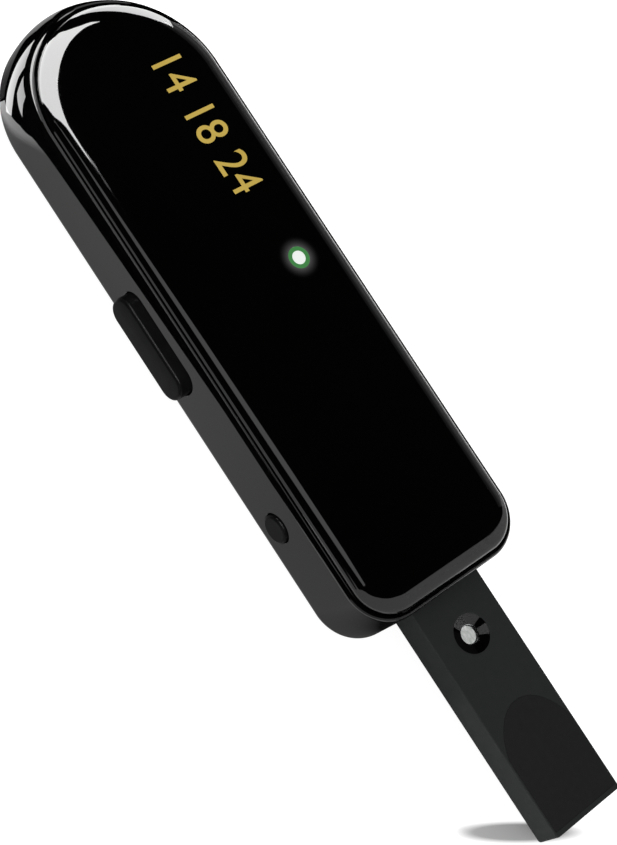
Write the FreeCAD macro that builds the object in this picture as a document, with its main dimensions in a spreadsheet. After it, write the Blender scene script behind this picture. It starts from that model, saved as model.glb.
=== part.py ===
"""Hand-held electronic gold tester with a sliding probe arm and two side buttons.

Frame: millimetres, +Z out of the front face, +Y towards the rounded end, buttons on the -X side,
origin at the centre of the flat back face.
"""
import FreeCAD, Part
import math
import os
from types import SimpleNamespace

import Sketcher

doc = FreeCAD.newDocument("gold_tester")
V = FreeCAD.Vector

# ---------------------------------------------------------------- driving dimensions, mm
DIMENSIONS = dict(
    # case
    case_width=29.4,          # across the tub
    case_length=92.4,         # tub only, at its lip, without the arm
    end_swell=2.5,            # the tub's round end leans out this far from lip to back
    tub_depth=10.6,           # back face to seam
    case_corner=6.7,          # outline radius at the square end
    back_round=1.2,           # edge round at the back
    lip_round=0.65,           # edge round at the seam
    side_wall=1.5,
    floor_wall=1.4,
    seam_inset=0.75,          # tub outline to the rebate that holds the panel
    rebate_depth=1.2,
    seam_gap=0.1,             # panel to rebate, all round
    seal_height=0.35,
    seal_width=0.5,
    seal_play=0.05,
    crown_height=1.5,         # panel above the seam
    crown_edge_round=1.0,     # tight round at the panel's edge
    crown_broad_round=14.2,   # broad round that runs out into the flat face
    panel_rim=1.4,            # panel edge band left by the hollow behind it
    panel_wall=1.2,
    over_cut=0.2,             # how far a cut runs past the wall it opens
    # screws
    screw_radius=0.8,
    screw_play=0.1,           # clearance hole round a shank
    pilot_play=0.02,          # pilot hole round a shank
    screw_head=1.35,
    head_height=1.15,
    head_play=0.15,
    head_sunk=0.45,           # case screw heads below the back face
    case_screw_length=7.6,
    panel_pilot=4.6,
    boss_radius=1.9,
    boss_joint=5.0,           # height where the tub's boss meets the panel's boss
    boss_gap=0.1,
    recess_reach=0.85,        # screw recess: half length, half width and depth of each bar
    recess_half=0.14,
    recess_depth=0.4,
    # cell and door
    door_width=21.3,
    door_low=8.5,
    door_high=35.1,
    door_plate=0.78,
    door_plug=0.5,            # raised part behind the plate
    door_corner=0.9,
    door_step=5.0,            # length of the door's screw tongue
    door_ledge=0.5,           # ledge that the door's rim lies on
    door_play=0.15,
    door_screw_place=10.6,
    door_screw_length=4.0,
    sink_depth=0.6,
    cell_radius=10.0,
    cell_height=3.2,
    cell_place=24.0,          # cell centre along the case
    cell_base=1.6,
    cell_cap_height=0.5,
    cell_cap_step=1.1,
    cell_play=0.15,
    cradle_wall=1.15,
    cradle_top=5.2,
    cradle_gap=3.4,           # opening in the ring for the side spring
    cradle_foot=0.9,
    leaf_thickness=0.2,
    top_leaf_width=3.0,
    side_leaf_width=2.6,
    # board
    post_radius=1.4,
    post_pilot=4.0,
    board_base=8.0,
    board_thickness=0.8,
    board_width=23.2,
    board_low=-35.0,
    board_high=35.2,
    board_low_round=1.5,
    board_high_round=5.0,
    pan_height=0.85,
    chip_lift=0.12,
    leg_reach=0.7,
    leg_width=0.22,
    leg_height=0.35,
    buzzer_radius=4.5,
    buzzer_height=1.7,
    buzzer_hole=0.6,
    # light
    light_x=6.8,
    light_y=1.75,
    light_core=0.97,
    light_rim=1.6,
    light_flange=0.7,         # the green ring's flange, out from its rim
    light_flange_height=0.45,
    lens_play=0.02,
    pipe_proud=0.05,
    ring_proud=0.03,
    led_width=1.8,
    led_length=1.4,
    led_height=0.4,
    led_lens=0.3,
    pipe_lift=0.8,            # light pipe's lower end above the board
    # buttons
    buttons_height=4.65,      # button centres above the back face
    test_place=1.8,
    test_length=15.5,
    test_width=5.1,
    test_round=2.2,
    test_proud=1.9,
    test_edge=0.35,
    power_place=-27.2,
    power_radius=2.1,
    power_proud=0.5,
    power_edge=0.25,
    button_play=0.15,
    button_travel=0.5,
    flange_rim=0.75,
    flange_lift=0.4,          # the long button's flange, above and below the bar
    flange_thickness=0.6,
    flange_gap=0.1,
    stem_length=0.65,
    stem_low=0.6,             # stem below and above the button's centre height
    stem_high=1.6,
    stem_half=2.0,
    switch_half=3.0,
    switch_depth=2.7,
    plunger_half=1.3,
    plunger_height=1.4,
    plunger_length=0.4,
    press_gap=0.05,           # left between stem and plunger at full travel
    # probe arm
    arm_width=12.6,
    arm_thickness=4.7,
    arm_base=2.7,
    arm_end=-81.2,
    arm_tail=-34.0,
    arm_corner=0.5,
    arm_edge=0.2,
    arm_slot_play=0.4,
    ear_width=0.6,
    ear_length=3.0,
    ear_height=2.0,
    ear_play=0.15,
    well_place=-53.0,
    well_radius=2.9,
    well_depth=0.6,
    well_bore=1.45,
    well_seat=2.4,            # bottom of the wide bore below the arm's face
    liner_height=0.43,
    liner_wall=0.12,
    contact_radius=1.3,
    contact_depth=0.95,       # contact below the arm's face
    contact_stem=0.8,
    pad_apex=-63.5,
    pad_centre=-73.5,
    pad_half_width=6.0,
    pad_ellipse=6.6,
    pad_end=-80.45,
    pad_thickness=0.65,
    strip_width=1.2,
    strip_thickness=0.15,
    strip_play=0.05,
    strip_back=0.6,           # strips end this far inside the arm's tail
    pad_strip_place=2.8,
    pad_pin=4.6,              # pin under the pad, in from the pad's end
    pad_pin_radius=0.5,
    guide_low=-44.6,
    guide_high=-1.0,
    guide_width=15.8,
    guide_floor=0.35,
    guide_side_play=0.2,
    guide_play=0.08,          # above and below the arm
    guide_lip=1.1,
    guide_ledge=1.3,
    guide_top_gap=0.05,
    wiper_thickness=0.15,
    wiper_width=1.0,
)

WALL_STEPS = 4                # spans of the tub's lofted wall
ROUND_STEPS = 4               # spans of each round in the same loft

sheet = doc.addObject("Spreadsheet::Sheet", "Sizes")


class Size:
    """A length that knows both its value and the sheet expression that gives it."""

    def __init__(self, value, text):
        self.value = value
        self.text = text

    @staticmethod
    def of(number):
        return number if isinstance(number, Size) else Size(float(number), repr(float(number)))

    def _join(self, other, sign, value):
        return Size(value, "(" + self.text + " " + sign + " " + Size.of(other).text + ")")

    def __add__(self, other):
        return self._join(other, "+", self.value + Size.of(other).value)

    def __sub__(self, other):
        return self._join(other, "-", self.value - Size.of(other).value)

    def __mul__(self, other):
        return self._join(other, "*", self.value * Size.of(other).value)

    def __truediv__(self, other):
        return self._join(other, "/", self.value / Size.of(other).value)

    def __rsub__(self, other):
        return Size.of(other) - self

    def __neg__(self):
        return Size.of(0) - self


def fill_sheet():
    """Put every driving dimension in the sheet and hand them back as sizes."""
    sizes = {}
    for row, (name, value) in enumerate(DIMENSIONS.items(), start=1):
        sheet.set("A%d" % row, name)
        sheet.set("B%d" % row, str(value))
        sheet.setAlias("B%d" % row, name)
        sizes[name] = Size(value, "Sizes." + name)
    doc.recompute()
    return SimpleNamespace(**sizes)


d = fill_sheet()


def bind(thing, prop, size):
    """Drive one property of an object from the sheet."""
    thing.setExpression(prop, Size.of(size).text)


# ---------------------------------------------------------------- sketch and feature helpers
def new_body(label):
    body = doc.addObject("PartDesign::Body", label)
    body.Label = label
    return body


def new_sketch(body, plane="XY_Plane", offset=0.0):
    """A sketch on one of the body's own origin planes, moved along the plane's normal."""
    sketch = body.newObject("Sketcher::SketchObject", body.Label + "_sketch")
    origin_plane = [f for f in body.Origin.OriginFeatures if f.Role == plane][0]
    sketch.AttachmentSupport = [(origin_plane, "")]
    sketch.MapMode = "FlatFace"
    bind(sketch, "AttachmentOffset.Base.z", offset)
    return sketch


def hold(sketch, kind, size, *points):
    """Add a dimension between points and drive it from the sheet."""
    size = Size.of(size)
    number = sketch.addConstraint(Sketcher.Constraint(kind, *points, size.value))
    bind(sketch, "Constraints[%d]" % number, size)


def pin(sketch, element, point, x, y):
    """Fix a sketch point at x, y from the sketch's origin."""
    for kind, size, axis in (("DistanceX", x, -2), ("DistanceY", y, -1)):
        size = Size.of(size)
        if size.value > 0:
            hold(sketch, kind, size, -1, 1, element, point)
        elif size.value < 0:
            hold(sketch, kind, -size, element, point, -1, 1)
        else:
            sketch.addConstraint(Sketcher.Constraint("PointOnObject", element, point, axis))


def circle(sketch, x, y, radius):
    x, y, radius = Size.of(x), Size.of(y), Size.of(radius)
    element = sketch.addGeometry(Part.Circle(V(x.value, y.value, 0), V(0, 0, 1), radius.value))
    pin(sketch, element, 3, x, y)
    hold(sketch, "Radius", radius, element)


def polygon(sketch, corners):
    """A closed polygon whose every corner is pinned to the sheet."""
    corners = [(Size.of(x), Size.of(y)) for x, y in corners]
    points = [V(x.value, y.value, 0) for x, y in corners]
    first = sketch.GeometryCount
    count = len(points)
    for i in range(count):
        sketch.addGeometry(Part.LineSegment(points[i], points[(i + 1) % count]))
    for i in range(count):
        sketch.addConstraint(
            Sketcher.Constraint("Coincident", first + i, 2, first + (i + 1) % count, 1))
    for i, (x, y) in enumerate(corners):
        pin(sketch, first + i, 1, x, y)


def rectangle(sketch, low_x, low_y, high_x, high_y):
    polygon(sketch, [(low_x, low_y), (high_x, low_y), (high_x, high_y), (low_x, high_y)])


def case_outline(sketch, inset, swell=0.0):
    """The case's outline moved inwards: a round end, straight sides and a square end with round corners.
    Swell moves the round end outwards."""
    half = d.case_width / 2 - inset
    centre = d.case_length / 2 - d.case_width / 2 + swell
    low = d.case_length / 2 - inset
    corner = d.case_corner - inset
    side, bend = half.value - corner.value, corner.value - low.value
    arc = lambda x, y, r, a, b: Part.ArcOfCircle(
        Part.Circle(V(x, y, 0), V(0, 0, 1), r), a, b)
    line = lambda x1, y1, x2, y2: Part.LineSegment(V(x1, y1, 0), V(x2, y2, 0))
    quarter = math.pi / 2
    for shape in (
        line(-side, -low.value, side, -low.value),
        arc(side, bend, corner.value, -quarter, 0),
        line(half.value, bend, half.value, centre.value),
        arc(0, centre.value, half.value, 0, 2 * quarter),
        line(-half.value, centre.value, -half.value, bend),
        arc(-side, bend, corner.value, 2 * quarter, 3 * quarter),
    ):
        sketch.addGeometry(shape)
    for i in range(6):
        sketch.addConstraint(Sketcher.Constraint("Tangent", i, 2, (i + 1) % 6, 1))
    sketch.addConstraint(Sketcher.Constraint("Horizontal", 0))
    sketch.addConstraint(Sketcher.Constraint("Vertical", 2))
    sketch.addConstraint(Sketcher.Constraint("Vertical", 4))
    sketch.addConstraint(Sketcher.Constraint("PointOnObject", 3, 3, -2))
    hold(sketch, "DistanceY", centre, -1, 1, 3, 3)
    hold(sketch, "Radius", half, 3)
    hold(sketch, "Radius", corner, 1)
    sketch.addConstraint(Sketcher.Constraint("Equal", 1, 5))
    hold(sketch, "DistanceY", low, 0, 1, -1, 1)


def pad(body, sketch, length, reverse=False):
    feature = body.newObject("PartDesign::Pad", body.Label + "_pad")
    feature.Profile = sketch
    feature.Reversed = reverse
    bind(feature, "Length", length)
    doc.recompute()
    return feature


def swelling_loft(body, kind, sections):
    """Add or subtract the case's outline through sections, each an inset and a height. The round end leans
    out: most at the back, and nothing at the lip, by one minus the cube of the height over the depth."""
    sketches = []
    for inset, height in sections:
        part = height / d.tub_depth
        sketch = new_sketch(body, offset=height)
        case_outline(sketch, inset, d.end_swell * (Size.of(1) - part * part * part))
        sketches.append(sketch)
    feature = body.newObject("PartDesign::%sLoft" % kind, body.Label + "_loft")
    feature.Profile = sketches[0]
    feature.Sections = sketches[1:]
    doc.recompute()


def pocket(body, sketch, length, reverse=False):
    """Cut a sketch into the body, and stop if nothing was cut."""
    before = body.Shape.Volume
    feature = body.newObject("PartDesign::Pocket", body.Label + "_pocket")
    feature.Profile = sketch
    feature.Reversed = reverse
    bind(feature, "Length", length)
    doc.recompute()
    if body.Shape.Volume > before - 1e-3:
        raise RuntimeError("a pocket of %s cuts nothing" % body.Label)
    return feature


def edges_where(body, test):
    """Names of the edges whose every point passes a test."""
    names = []
    for number, edge in enumerate(body.Shape.Edges, start=1):
        if all(test(point) for point in edge.discretize(5)):
            names.append("Edge%d" % number)
    return names


def fillet(body, names, radius):
    base = body.Tip
    feature = body.newObject("PartDesign::Fillet", body.Label + "_round")
    feature.Base = (base, names)
    bind(feature, "Radius", radius)
    doc.recompute()
    return feature


def near(number, size, tolerance=1e-4):
    return abs(number - Size.of(size).value) < tolerance


# ---------------------------------------------------------------- primitive helpers
def box(name, low, high):
    """A box between two corners."""
    solid = doc.addObject("Part::Box", name)
    for axis, side, a, b in zip("xyz", ("Length", "Width", "Height"), low, high):
        bind(solid, side, Size.of(b) - a)
        bind(solid, "Placement.Base." + axis, a)
    return solid


def cylinder(name, place, radius, height):
    """A cylinder along Z from its lower centre."""
    solid = doc.addObject("Part::Cylinder", name)
    bind(solid, "Radius", radius)
    bind(solid, "Height", height)
    for axis, size in zip("xyz", place):
        bind(solid, "Placement.Base." + axis, size)
    return solid


def cone(name, place, low_radius, high_radius, height):
    solid = doc.addObject("Part::Cone", name)
    bind(solid, "Radius1", low_radius)
    bind(solid, "Radius2", high_radius)
    bind(solid, "Height", height)
    for axis, size in zip("xyz", place):
        bind(solid, "Placement.Base." + axis, size)
    return solid


def fuse(name, parts):
    solid = doc.addObject("Part::MultiFuse", name)
    solid.Shapes = parts
    return solid


def cut(name, base, tools):
    """Take one or more tools away from a base."""
    solid = doc.addObject("Part::Cut", name)
    solid.Base = base
    solid.Tool = tools[0] if len(tools) == 1 else fuse(name + "_tools", tools)
    return solid


# ---------------------------------------------------------------- shared places
half_width = d.case_width / 2
panel_inset = d.seam_inset + d.seam_gap
panel_base = d.tub_depth - d.rebate_depth + d.seal_height
face_height = d.tub_depth + d.crown_height
ceiling = face_height - d.panel_wall
board_top = d.board_base + d.board_thickness
arm_face = d.arm_base + d.arm_thickness
arm_half = d.arm_width / 2
inner_wall = half_width - d.side_wall
case_screw_places = [(8.4, 38.0), (-8.4, 38.0), (10.0, -40.4), (-10.0, -40.4)]
board_screw_places = [(9.9, -32.0), (-9.9, -33.0), (9.9, 12.0), (-9.9, 13.2)]


# ---------------------------------------------------------------- case
def tub_sections():
    """Insets and heights of the tub's sections, in three stacks: the back's round, the wall, the lip's
    round."""
    turns = [step / ROUND_STEPS * math.pi / 2 for step in range(ROUND_STEPS + 1)]
    wall = d.tub_depth - d.lip_round - d.back_round
    return (
        [(d.back_round * (1 - math.sin(turn)), d.back_round * (1 - math.cos(turn))) for turn in turns],
        [(0.0, d.back_round + wall * (step / WALL_STEPS)) for step in range(WALL_STEPS + 1)],
        [(d.lip_round * (1 - math.cos(turn)), d.tub_depth - d.lip_round * (1 - math.sin(turn)))
         for turn in turns])


def make_rear_shell():
    """Deep tub with rounded edges, a rebate for the panel, and openings for arm, buttons and cell."""
    body = new_body("rear_shell")
    for sections in tub_sections():
        swelling_loft(body, "Additive", sections)

    sketch = new_sketch(body, offset=d.tub_depth)
    case_outline(sketch, d.seam_inset)
    pocket(body, sketch, d.rebate_depth)
    cavity = d.tub_depth - d.rebate_depth - d.floor_wall
    swelling_loft(body, "Subtractive", [(d.side_wall, d.floor_wall + cavity * (step / WALL_STEPS))
                                        for step in range(WALL_STEPS + 1)])

    sketch = new_sketch(body, offset=d.floor_wall)
    for x, y in case_screw_places:
        circle(sketch, x, y, d.boss_radius)
    pad(body, sketch, d.boss_joint - d.floor_wall)
    sketch = new_sketch(body, offset=d.floor_wall)
    for x, y in board_screw_places:
        circle(sketch, x, y, d.post_radius)
    pad(body, sketch, d.board_base - d.floor_wall)
    sketch = new_sketch(body, offset=d.board_base)
    for x, y in board_screw_places:
        circle(sketch, x, y, d.screw_radius)
    pocket(body, sketch, d.post_pilot)
    sketch = new_sketch(body, offset=d.boss_joint)
    for x, y in case_screw_places:
        circle(sketch, x, y, d.screw_radius + d.screw_play)
    pocket(body, sketch, d.boss_joint)
    sketch = new_sketch(body, offset=d.head_sunk + d.head_height)
    for x, y in case_screw_places:
        circle(sketch, x, y, d.screw_head + d.head_play)
    pocket(body, sketch, d.head_sunk + d.head_height)

    sketch = new_sketch(body, "XZ_Plane", d.case_length / 2 + d.over_cut)
    play = d.arm_slot_play
    rectangle(sketch, -(arm_half + play), d.arm_base - play, arm_half + play, arm_face + play)
    pocket(body, sketch, d.side_wall + d.over_cut * 2)

    sketch = new_sketch(body, "YZ_Plane", -half_width - d.over_cut)
    reach_y = d.test_length / 2 + d.button_play
    reach_z = d.test_width / 2 + d.button_play
    rectangle(sketch, d.test_place - reach_y, d.buttons_height - reach_z,
              d.test_place + reach_y, d.buttons_height + reach_z)
    circle(sketch, d.power_place, d.buttons_height, d.power_radius + d.button_play)
    pocket(body, sketch, d.side_wall + d.over_cut * 2, reverse=True)
    fillet(body, bar_corners(body, reach_y.value, reach_z.value), d.test_round)

    door_half = d.door_width / 2 + d.door_play
    sketch = new_sketch(body, offset=d.door_plate)
    rectangle(sketch, -door_half, d.door_low - d.door_play, door_half, d.door_high + d.door_play)
    pocket(body, sketch, d.door_plate)
    sketch = new_sketch(body, offset=d.floor_wall)
    rectangle(sketch, -(door_half - d.door_ledge), d.door_low + d.door_step,
              door_half - d.door_ledge, d.door_high - d.door_ledge)
    circle(sketch, 0, d.door_screw_place, d.screw_radius + d.screw_play)
    pocket(body, sketch, d.floor_wall)
    return body


def bar_corners(body, reach_y, reach_z):
    """The four edges along X at the corners of the long button's bar or of its hole."""
    def at_corner(p):
        off_y = abs(abs(p.y - d.test_place.value) - reach_y)
        off_z = abs(abs(p.z - d.buttons_height.value) - reach_z)
        return p.x < 0 and off_y < 1e-3 and off_z < 1e-3
    return edges_where(body, at_corner)


def make_front_cover():
    """Glossy panel: tight round at its edge, broad round into a flat face, hollow behind, four bosses."""
    body = new_body("front_cover")
    sketch = new_sketch(body, offset=panel_base)
    case_outline(sketch, panel_inset)
    pad(body, sketch, face_height - panel_base)

    path = new_sketch(body, offset=d.tub_depth)
    case_outline(path, panel_inset)
    profile = new_sketch(body, "XZ_Plane")
    crown_profile(profile)
    doc.recompute()
    before = body.Shape.Volume
    crown = body.newObject("PartDesign::SubtractivePipe", "front_cover_crown")
    crown.Profile = profile
    crown.Spine = path
    doc.recompute()
    if body.Shape.Volume > before - 1e-3:
        raise RuntimeError("the crown cuts nothing")

    sketch = new_sketch(body, offset=panel_base)
    case_outline(sketch, panel_inset + d.panel_rim)
    pocket(body, sketch, ceiling - panel_base, reverse=True)
    sketch = new_sketch(body, offset=ceiling)
    for x, y in case_screw_places:
        circle(sketch, x, y, d.boss_radius)
    pad(body, sketch, ceiling - d.boss_joint - d.boss_gap, reverse=True)
    sketch = new_sketch(body, offset=d.boss_joint)
    for x, y in case_screw_places:
        circle(sketch, x, y, d.screw_radius + d.pilot_play)
    pocket(body, sketch, d.panel_pilot, reverse=True)
    sketch = new_sketch(body, offset=face_height)
    circle(sketch, d.light_x, d.light_y, d.light_rim + d.lens_play)
    pocket(body, sketch, d.panel_wall + d.over_cut)
    return body


def crown_profile(sketch):
    """What the crown takes away: the corner outside a tight arc that meets a broad arc smoothly."""
    edge = half_width - panel_inset
    tight, broad, rise = d.crown_edge_round, d.crown_broad_round, d.crown_height
    turn = math.asin((broad.value - rise.value) / (broad.value - tight.value))
    reach = broad.value - tight.value
    tight_x, tight_z = (edge - tight).value, d.tub_depth.value
    broad_x = tight_x - reach * math.cos(turn)
    broad_z = tight_z - reach * math.sin(turn)
    outside = 1.0
    out_x, out_z = edge + outside, face_height + outside
    sketch.addGeometry(Part.ArcOfCircle(
        Part.Circle(V(tight_x, tight_z, 0), V(0, 0, 1), tight.value), 0, turn))
    sketch.addGeometry(Part.ArcOfCircle(
        Part.Circle(V(broad_x, broad_z, 0), V(0, 0, 1), broad.value), turn, math.pi / 2))
    corners = [
        V(broad_x, face_height.value, 0),
        V(broad_x, out_z.value, 0),
        V(out_x.value, out_z.value, 0),
        V(out_x.value, tight_z, 0),
        V(edge.value, tight_z, 0),
    ]
    for start, end in zip(corners, corners[1:]):
        sketch.addGeometry(Part.LineSegment(start, end))
    sketch.addConstraint(Sketcher.Constraint("Tangent", 0, 2, 1, 1))
    for i in range(1, 5):
        sketch.addConstraint(Sketcher.Constraint("Coincident", i, 2, i + 1, 1))
    sketch.addConstraint(Sketcher.Constraint("Coincident", 5, 2, 0, 1))
    pin(sketch, 0, 3, edge - tight, d.tub_depth)
    hold(sketch, "Radius", tight, 0)
    hold(sketch, "Radius", broad, 1)
    sketch.addConstraint(Sketcher.Constraint("Horizontal", 0, 3, 0, 1))
    sketch.addConstraint(Sketcher.Constraint("Vertical", 1, 3, 1, 2))
    hold(sketch, "DistanceY", face_height, -1, 1, 1, 2)
    sketch.addConstraint(Sketcher.Constraint("Vertical", 2))
    sketch.addConstraint(Sketcher.Constraint("Horizontal", 3))
    sketch.addConstraint(Sketcher.Constraint("Vertical", 4))
    pin(sketch, 3, 2, out_x, out_z)
    sketch.addConstraint(Sketcher.Constraint("Horizontal", 5))


def make_cover_seal():
    """Flat ring on the tub's ledge, under the panel's edge."""
    body = new_body("cover_seal")
    base = d.tub_depth - d.rebate_depth
    sketch = new_sketch(body, offset=base)
    case_outline(sketch, panel_inset + d.seal_play)
    pad(body, sketch, d.seal_height)
    sketch = new_sketch(body, offset=base + d.seal_height)
    case_outline(sketch, panel_inset + d.seal_play + d.seal_width)
    pocket(body, sketch, d.seal_height)
    return body


def cross_recess(name, x, y, z, upward=True):
    """Two crossed bars that make a screw's recess, cut into the head's face at height z."""
    low, high = (z - d.over_cut, z + d.recess_depth) if upward else (z - d.recess_depth, z + d.over_cut)
    reach, half = d.recess_reach, d.recess_half
    x, y = Size.of(x), Size.of(y)
    return [box(name + "_slot_x", (x - reach, y - half, low), (x + reach, y + half, high)),
            box(name + "_slot_y", (x - half, y - reach, low), (x + half, y + reach, high))]


def make_case_screws():
    """Four screws from the back, through the tub's bosses into the panel's."""
    screws = []
    for number, (x, y) in enumerate(case_screw_places):
        name = "case_screw_%d" % number
        head = cylinder(name + "_head", (x, y, d.head_sunk), d.screw_head, d.head_height)
        shank = cylinder(name + "_shank", (x, y, d.head_sunk + d.head_height),
                         d.screw_radius, d.case_screw_length)
        solid = fuse(name + "_solid", [head, shank])
        screws.append(cut(name, solid, cross_recess(name, x, y, d.head_sunk)))
    return fuse("case_screws", screws)


# ---------------------------------------------------------------- cell and door
def make_battery_door():
    """Flush door with a raised plug and a countersunk screw tongue."""
    body = new_body("door_plate")
    half = d.door_width / 2
    sketch = new_sketch(body)
    rectangle(sketch, -half, d.door_low, half, d.door_high)
    pad(body, sketch, d.door_plate)

    def upright(p):
        return near(abs(p.x), half) and (near(p.y, d.door_low) or near(p.y, d.door_high))
    fillet(body, edges_where(body, upright), d.door_corner)
    sketch = new_sketch(body, offset=d.door_plate)
    inset = d.door_ledge + d.door_play
    rectangle(sketch, -(half - inset), d.door_low + d.door_step + d.door_play,
              half - inset, d.door_high - inset)
    pad(body, sketch, d.door_plug)
    hole = cylinder("door_hole", (0, d.door_screw_place, -d.over_cut),
                    d.screw_radius + d.screw_play, d.door_plate + d.over_cut * 2)
    sink = cone("door_sink", (0, d.door_screw_place, 0), d.screw_head + d.head_play,
                d.screw_radius + d.screw_play, d.sink_depth)
    return cut("battery_door", body, [hole, sink])


def make_door_screw():
    """Countersunk screw through the door's tongue into the cradle."""
    head = cone("door_screw_head", (0, d.door_screw_place, 0), d.screw_head, d.screw_radius, d.sink_depth)
    shank = cylinder("door_screw_shank", (0, d.door_screw_place, d.sink_depth),
                     d.screw_radius, d.door_screw_length)
    solid = fuse("door_screw_solid", [head, shank])
    return cut("door_screw", solid, cross_recess("door_screw", 0, d.door_screw_place, Size.of(0)))


def make_coin_cell():
    """Coin cell: wide can with a narrower cap."""
    place = (0, d.cell_place, d.cell_base)
    can = cylinder("cell_can", place, d.cell_radius, d.cell_height - d.cell_cap_height)
    cap = cylinder("cell_cap", place, d.cell_radius - d.cell_cap_step, d.cell_height)
    return fuse("coin_cell", [can, cap])


def make_cell_cradle():
    """Ring round the cell, with a screw boss towards the middle of the case and three feet for the board."""
    height = d.cradle_top - d.floor_wall
    inner = d.cell_radius + d.cell_play
    outer = inner + d.cradle_wall
    ring = cylinder("cradle_ring", (0, d.cell_place, d.floor_wall), outer, height)
    boss = box("cradle_boss", (-2.6, d.door_low, d.floor_wall), (2.6, d.cell_place - inner, d.cradle_top))
    hollow = cylinder("cradle_hollow", (0, d.cell_place, d.floor_wall - d.over_cut),
                      inner, height + d.over_cut * 2)
    bore = cylinder("cradle_bore", (0, d.door_screw_place, d.floor_wall - d.over_cut),
                    d.screw_radius + d.pilot_play, height)
    gap = box("cradle_gap", (inner - 2.0, d.cell_place - d.cradle_gap / 2, d.floor_wall),
              (outer + 1.0, d.cell_place + d.cradle_gap / 2, d.cradle_top + d.over_cut))
    pieces = [cut("cradle_body", fuse("cradle_solid", [ring, boss]), [hollow, bore, gap])]
    middle = inner + d.cradle_wall / 2
    for number, degrees in enumerate((42, 138, 318)):
        x = middle * math.cos(math.radians(degrees))
        y = middle * math.sin(math.radians(degrees)) + d.cell_place
        pieces.append(cylinder("cradle_foot_%d" % number, (x, y, d.cradle_top - d.cradle_foot),
                               d.cradle_foot, d.board_base - d.cradle_top + d.cradle_foot))
    return fuse("cell_cradle", pieces)


def sloped_leaf(name, x, width, low, high, thickness):
    """A thin strip between two points (y, z), lying across x."""
    x, width = Size.of(x), Size.of(width)
    (y1, z1), (y2, z2) = low, high
    leaf = doc.addObject("Part::Box", name)
    bind(leaf, "Length", width)
    bind(leaf, "Width", math.hypot(y2 - y1, z2 - z1))
    bind(leaf, "Height", thickness)
    turn = FreeCAD.Rotation(V(1, 0, 0), math.degrees(math.atan2(z2 - z1, y2 - y1)))
    leaf.Placement = FreeCAD.Placement(V((x - width / 2).value, y1, z1), turn)
    return leaf


def make_cell_top_spring():
    """Bent leaf from the board down to the cell's cap, with its tip turned up."""
    half, foot_low = d.top_leaf_width / 2, d.board_base - d.leaf_thickness
    knee, touch = (26.3, foot_low.value - 0.02), (19.6, (d.cell_base + d.cell_height).value + 0.04)
    tip = (17.4, touch[1] + 0.86)
    foot = box("top_spring_foot", (-half, 26.0, foot_low), (half, 30.0, d.board_base))
    slope = sloped_leaf("top_spring_slope", 0, d.top_leaf_width, touch, knee, d.leaf_thickness)
    lip = sloped_leaf("top_spring_lip", 0, d.top_leaf_width, tip, (touch[0] + 0.15, touch[1]), d.leaf_thickness)
    return fuse("cell_top_spring", [foot, slope, lip])


def make_cell_side_spring():
    """Upright leaf against the cell's can, with a foot on the board."""
    low, high = d.cell_place - d.side_leaf_width / 2, d.cell_place + d.side_leaf_width / 2
    inner = d.cell_radius + 0.02
    outer = inner + d.leaf_thickness
    leaf = box("side_spring_leaf", (inner, low, d.cell_base + 0.3), (outer, high, d.board_base))
    foot = box("side_spring_foot", (inner - 1.6, low, d.board_base - d.leaf_thickness),
               (outer, high, d.board_base))
    return fuse("cell_side_spring", [leaf, foot])


# ---------------------------------------------------------------- electronics
def make_main_board():
    """Circuit board on the tub's four posts, rounded at the case's round end."""
    body = new_body("main_board")
    half = d.board_width / 2
    sketch = new_sketch(body, offset=d.board_base)
    rectangle(sketch, -half, d.board_low, half, d.board_high)
    pad(body, sketch, d.board_thickness)
    for end, radius in ((d.board_high, d.board_high_round), (d.board_low, d.board_low_round)):
        corners = edges_where(body, lambda p: near(abs(p.x), half) and near(p.y, end))
        fillet(body, corners, radius)
    sketch = new_sketch(body, offset=board_top)
    for x, y in board_screw_places:
        circle(sketch, x, y, d.screw_radius + d.screw_play)
    pocket(body, sketch, d.board_thickness)
    return body


def make_board_screws():
    """Pan-head screws that hold the board on its posts."""
    screws = []
    low = d.board_base - d.post_pilot + d.recess_depth
    top = board_top + d.pan_height
    for number, (x, y) in enumerate(board_screw_places):
        name = "board_screw_%d" % number
        shank = cylinder(name + "_shank", (x, y, low), d.screw_radius - d.pilot_play, board_top - low)
        head = cylinder(name + "_head", (x, y, board_top), d.screw_head, d.pan_height)
        solid = fuse(name + "_solid", [shank, head])
        screws.append(cut(name, solid, cross_recess(name, x, y, top, upward=False)))
    return fuse("board_screws", screws)


def make_chip(label, x, y, width, length, height, legs, sides):
    """Moulded chip on the board, with a row of legs along two or four sides."""
    x, y, overlap = Size.of(x), Size.of(y), 0.1
    pieces = [box(label + "_case", (x - width / 2, y - length / 2, board_top + d.chip_lift),
                  (x + width / 2, y + length / 2, board_top + height))]
    row = length - 1.0
    half_leg = d.leg_width / 2
    for leg in range(legs):
        along = row * (leg / (legs - 1) - 0.5)
        for side, inner in ((-1, -width / 2 - d.leg_reach + overlap), (1, width / 2 - Size.of(overlap))):
            name = "%s_leg_%d_%d" % (label, leg, side)
            outer = inner + d.leg_reach
            pieces.append(box(name, (x + inner, y + along - half_leg, board_top),
                              (x + outer, y + along + half_leg, board_top + d.leg_height)))
            if sides == 4:
                pieces.append(box(name + "_end", (x + along - half_leg, y + inner, board_top),
                                  (x + along + half_leg, y + outer, board_top + d.leg_height)))
    return fuse(label, pieces)


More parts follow.
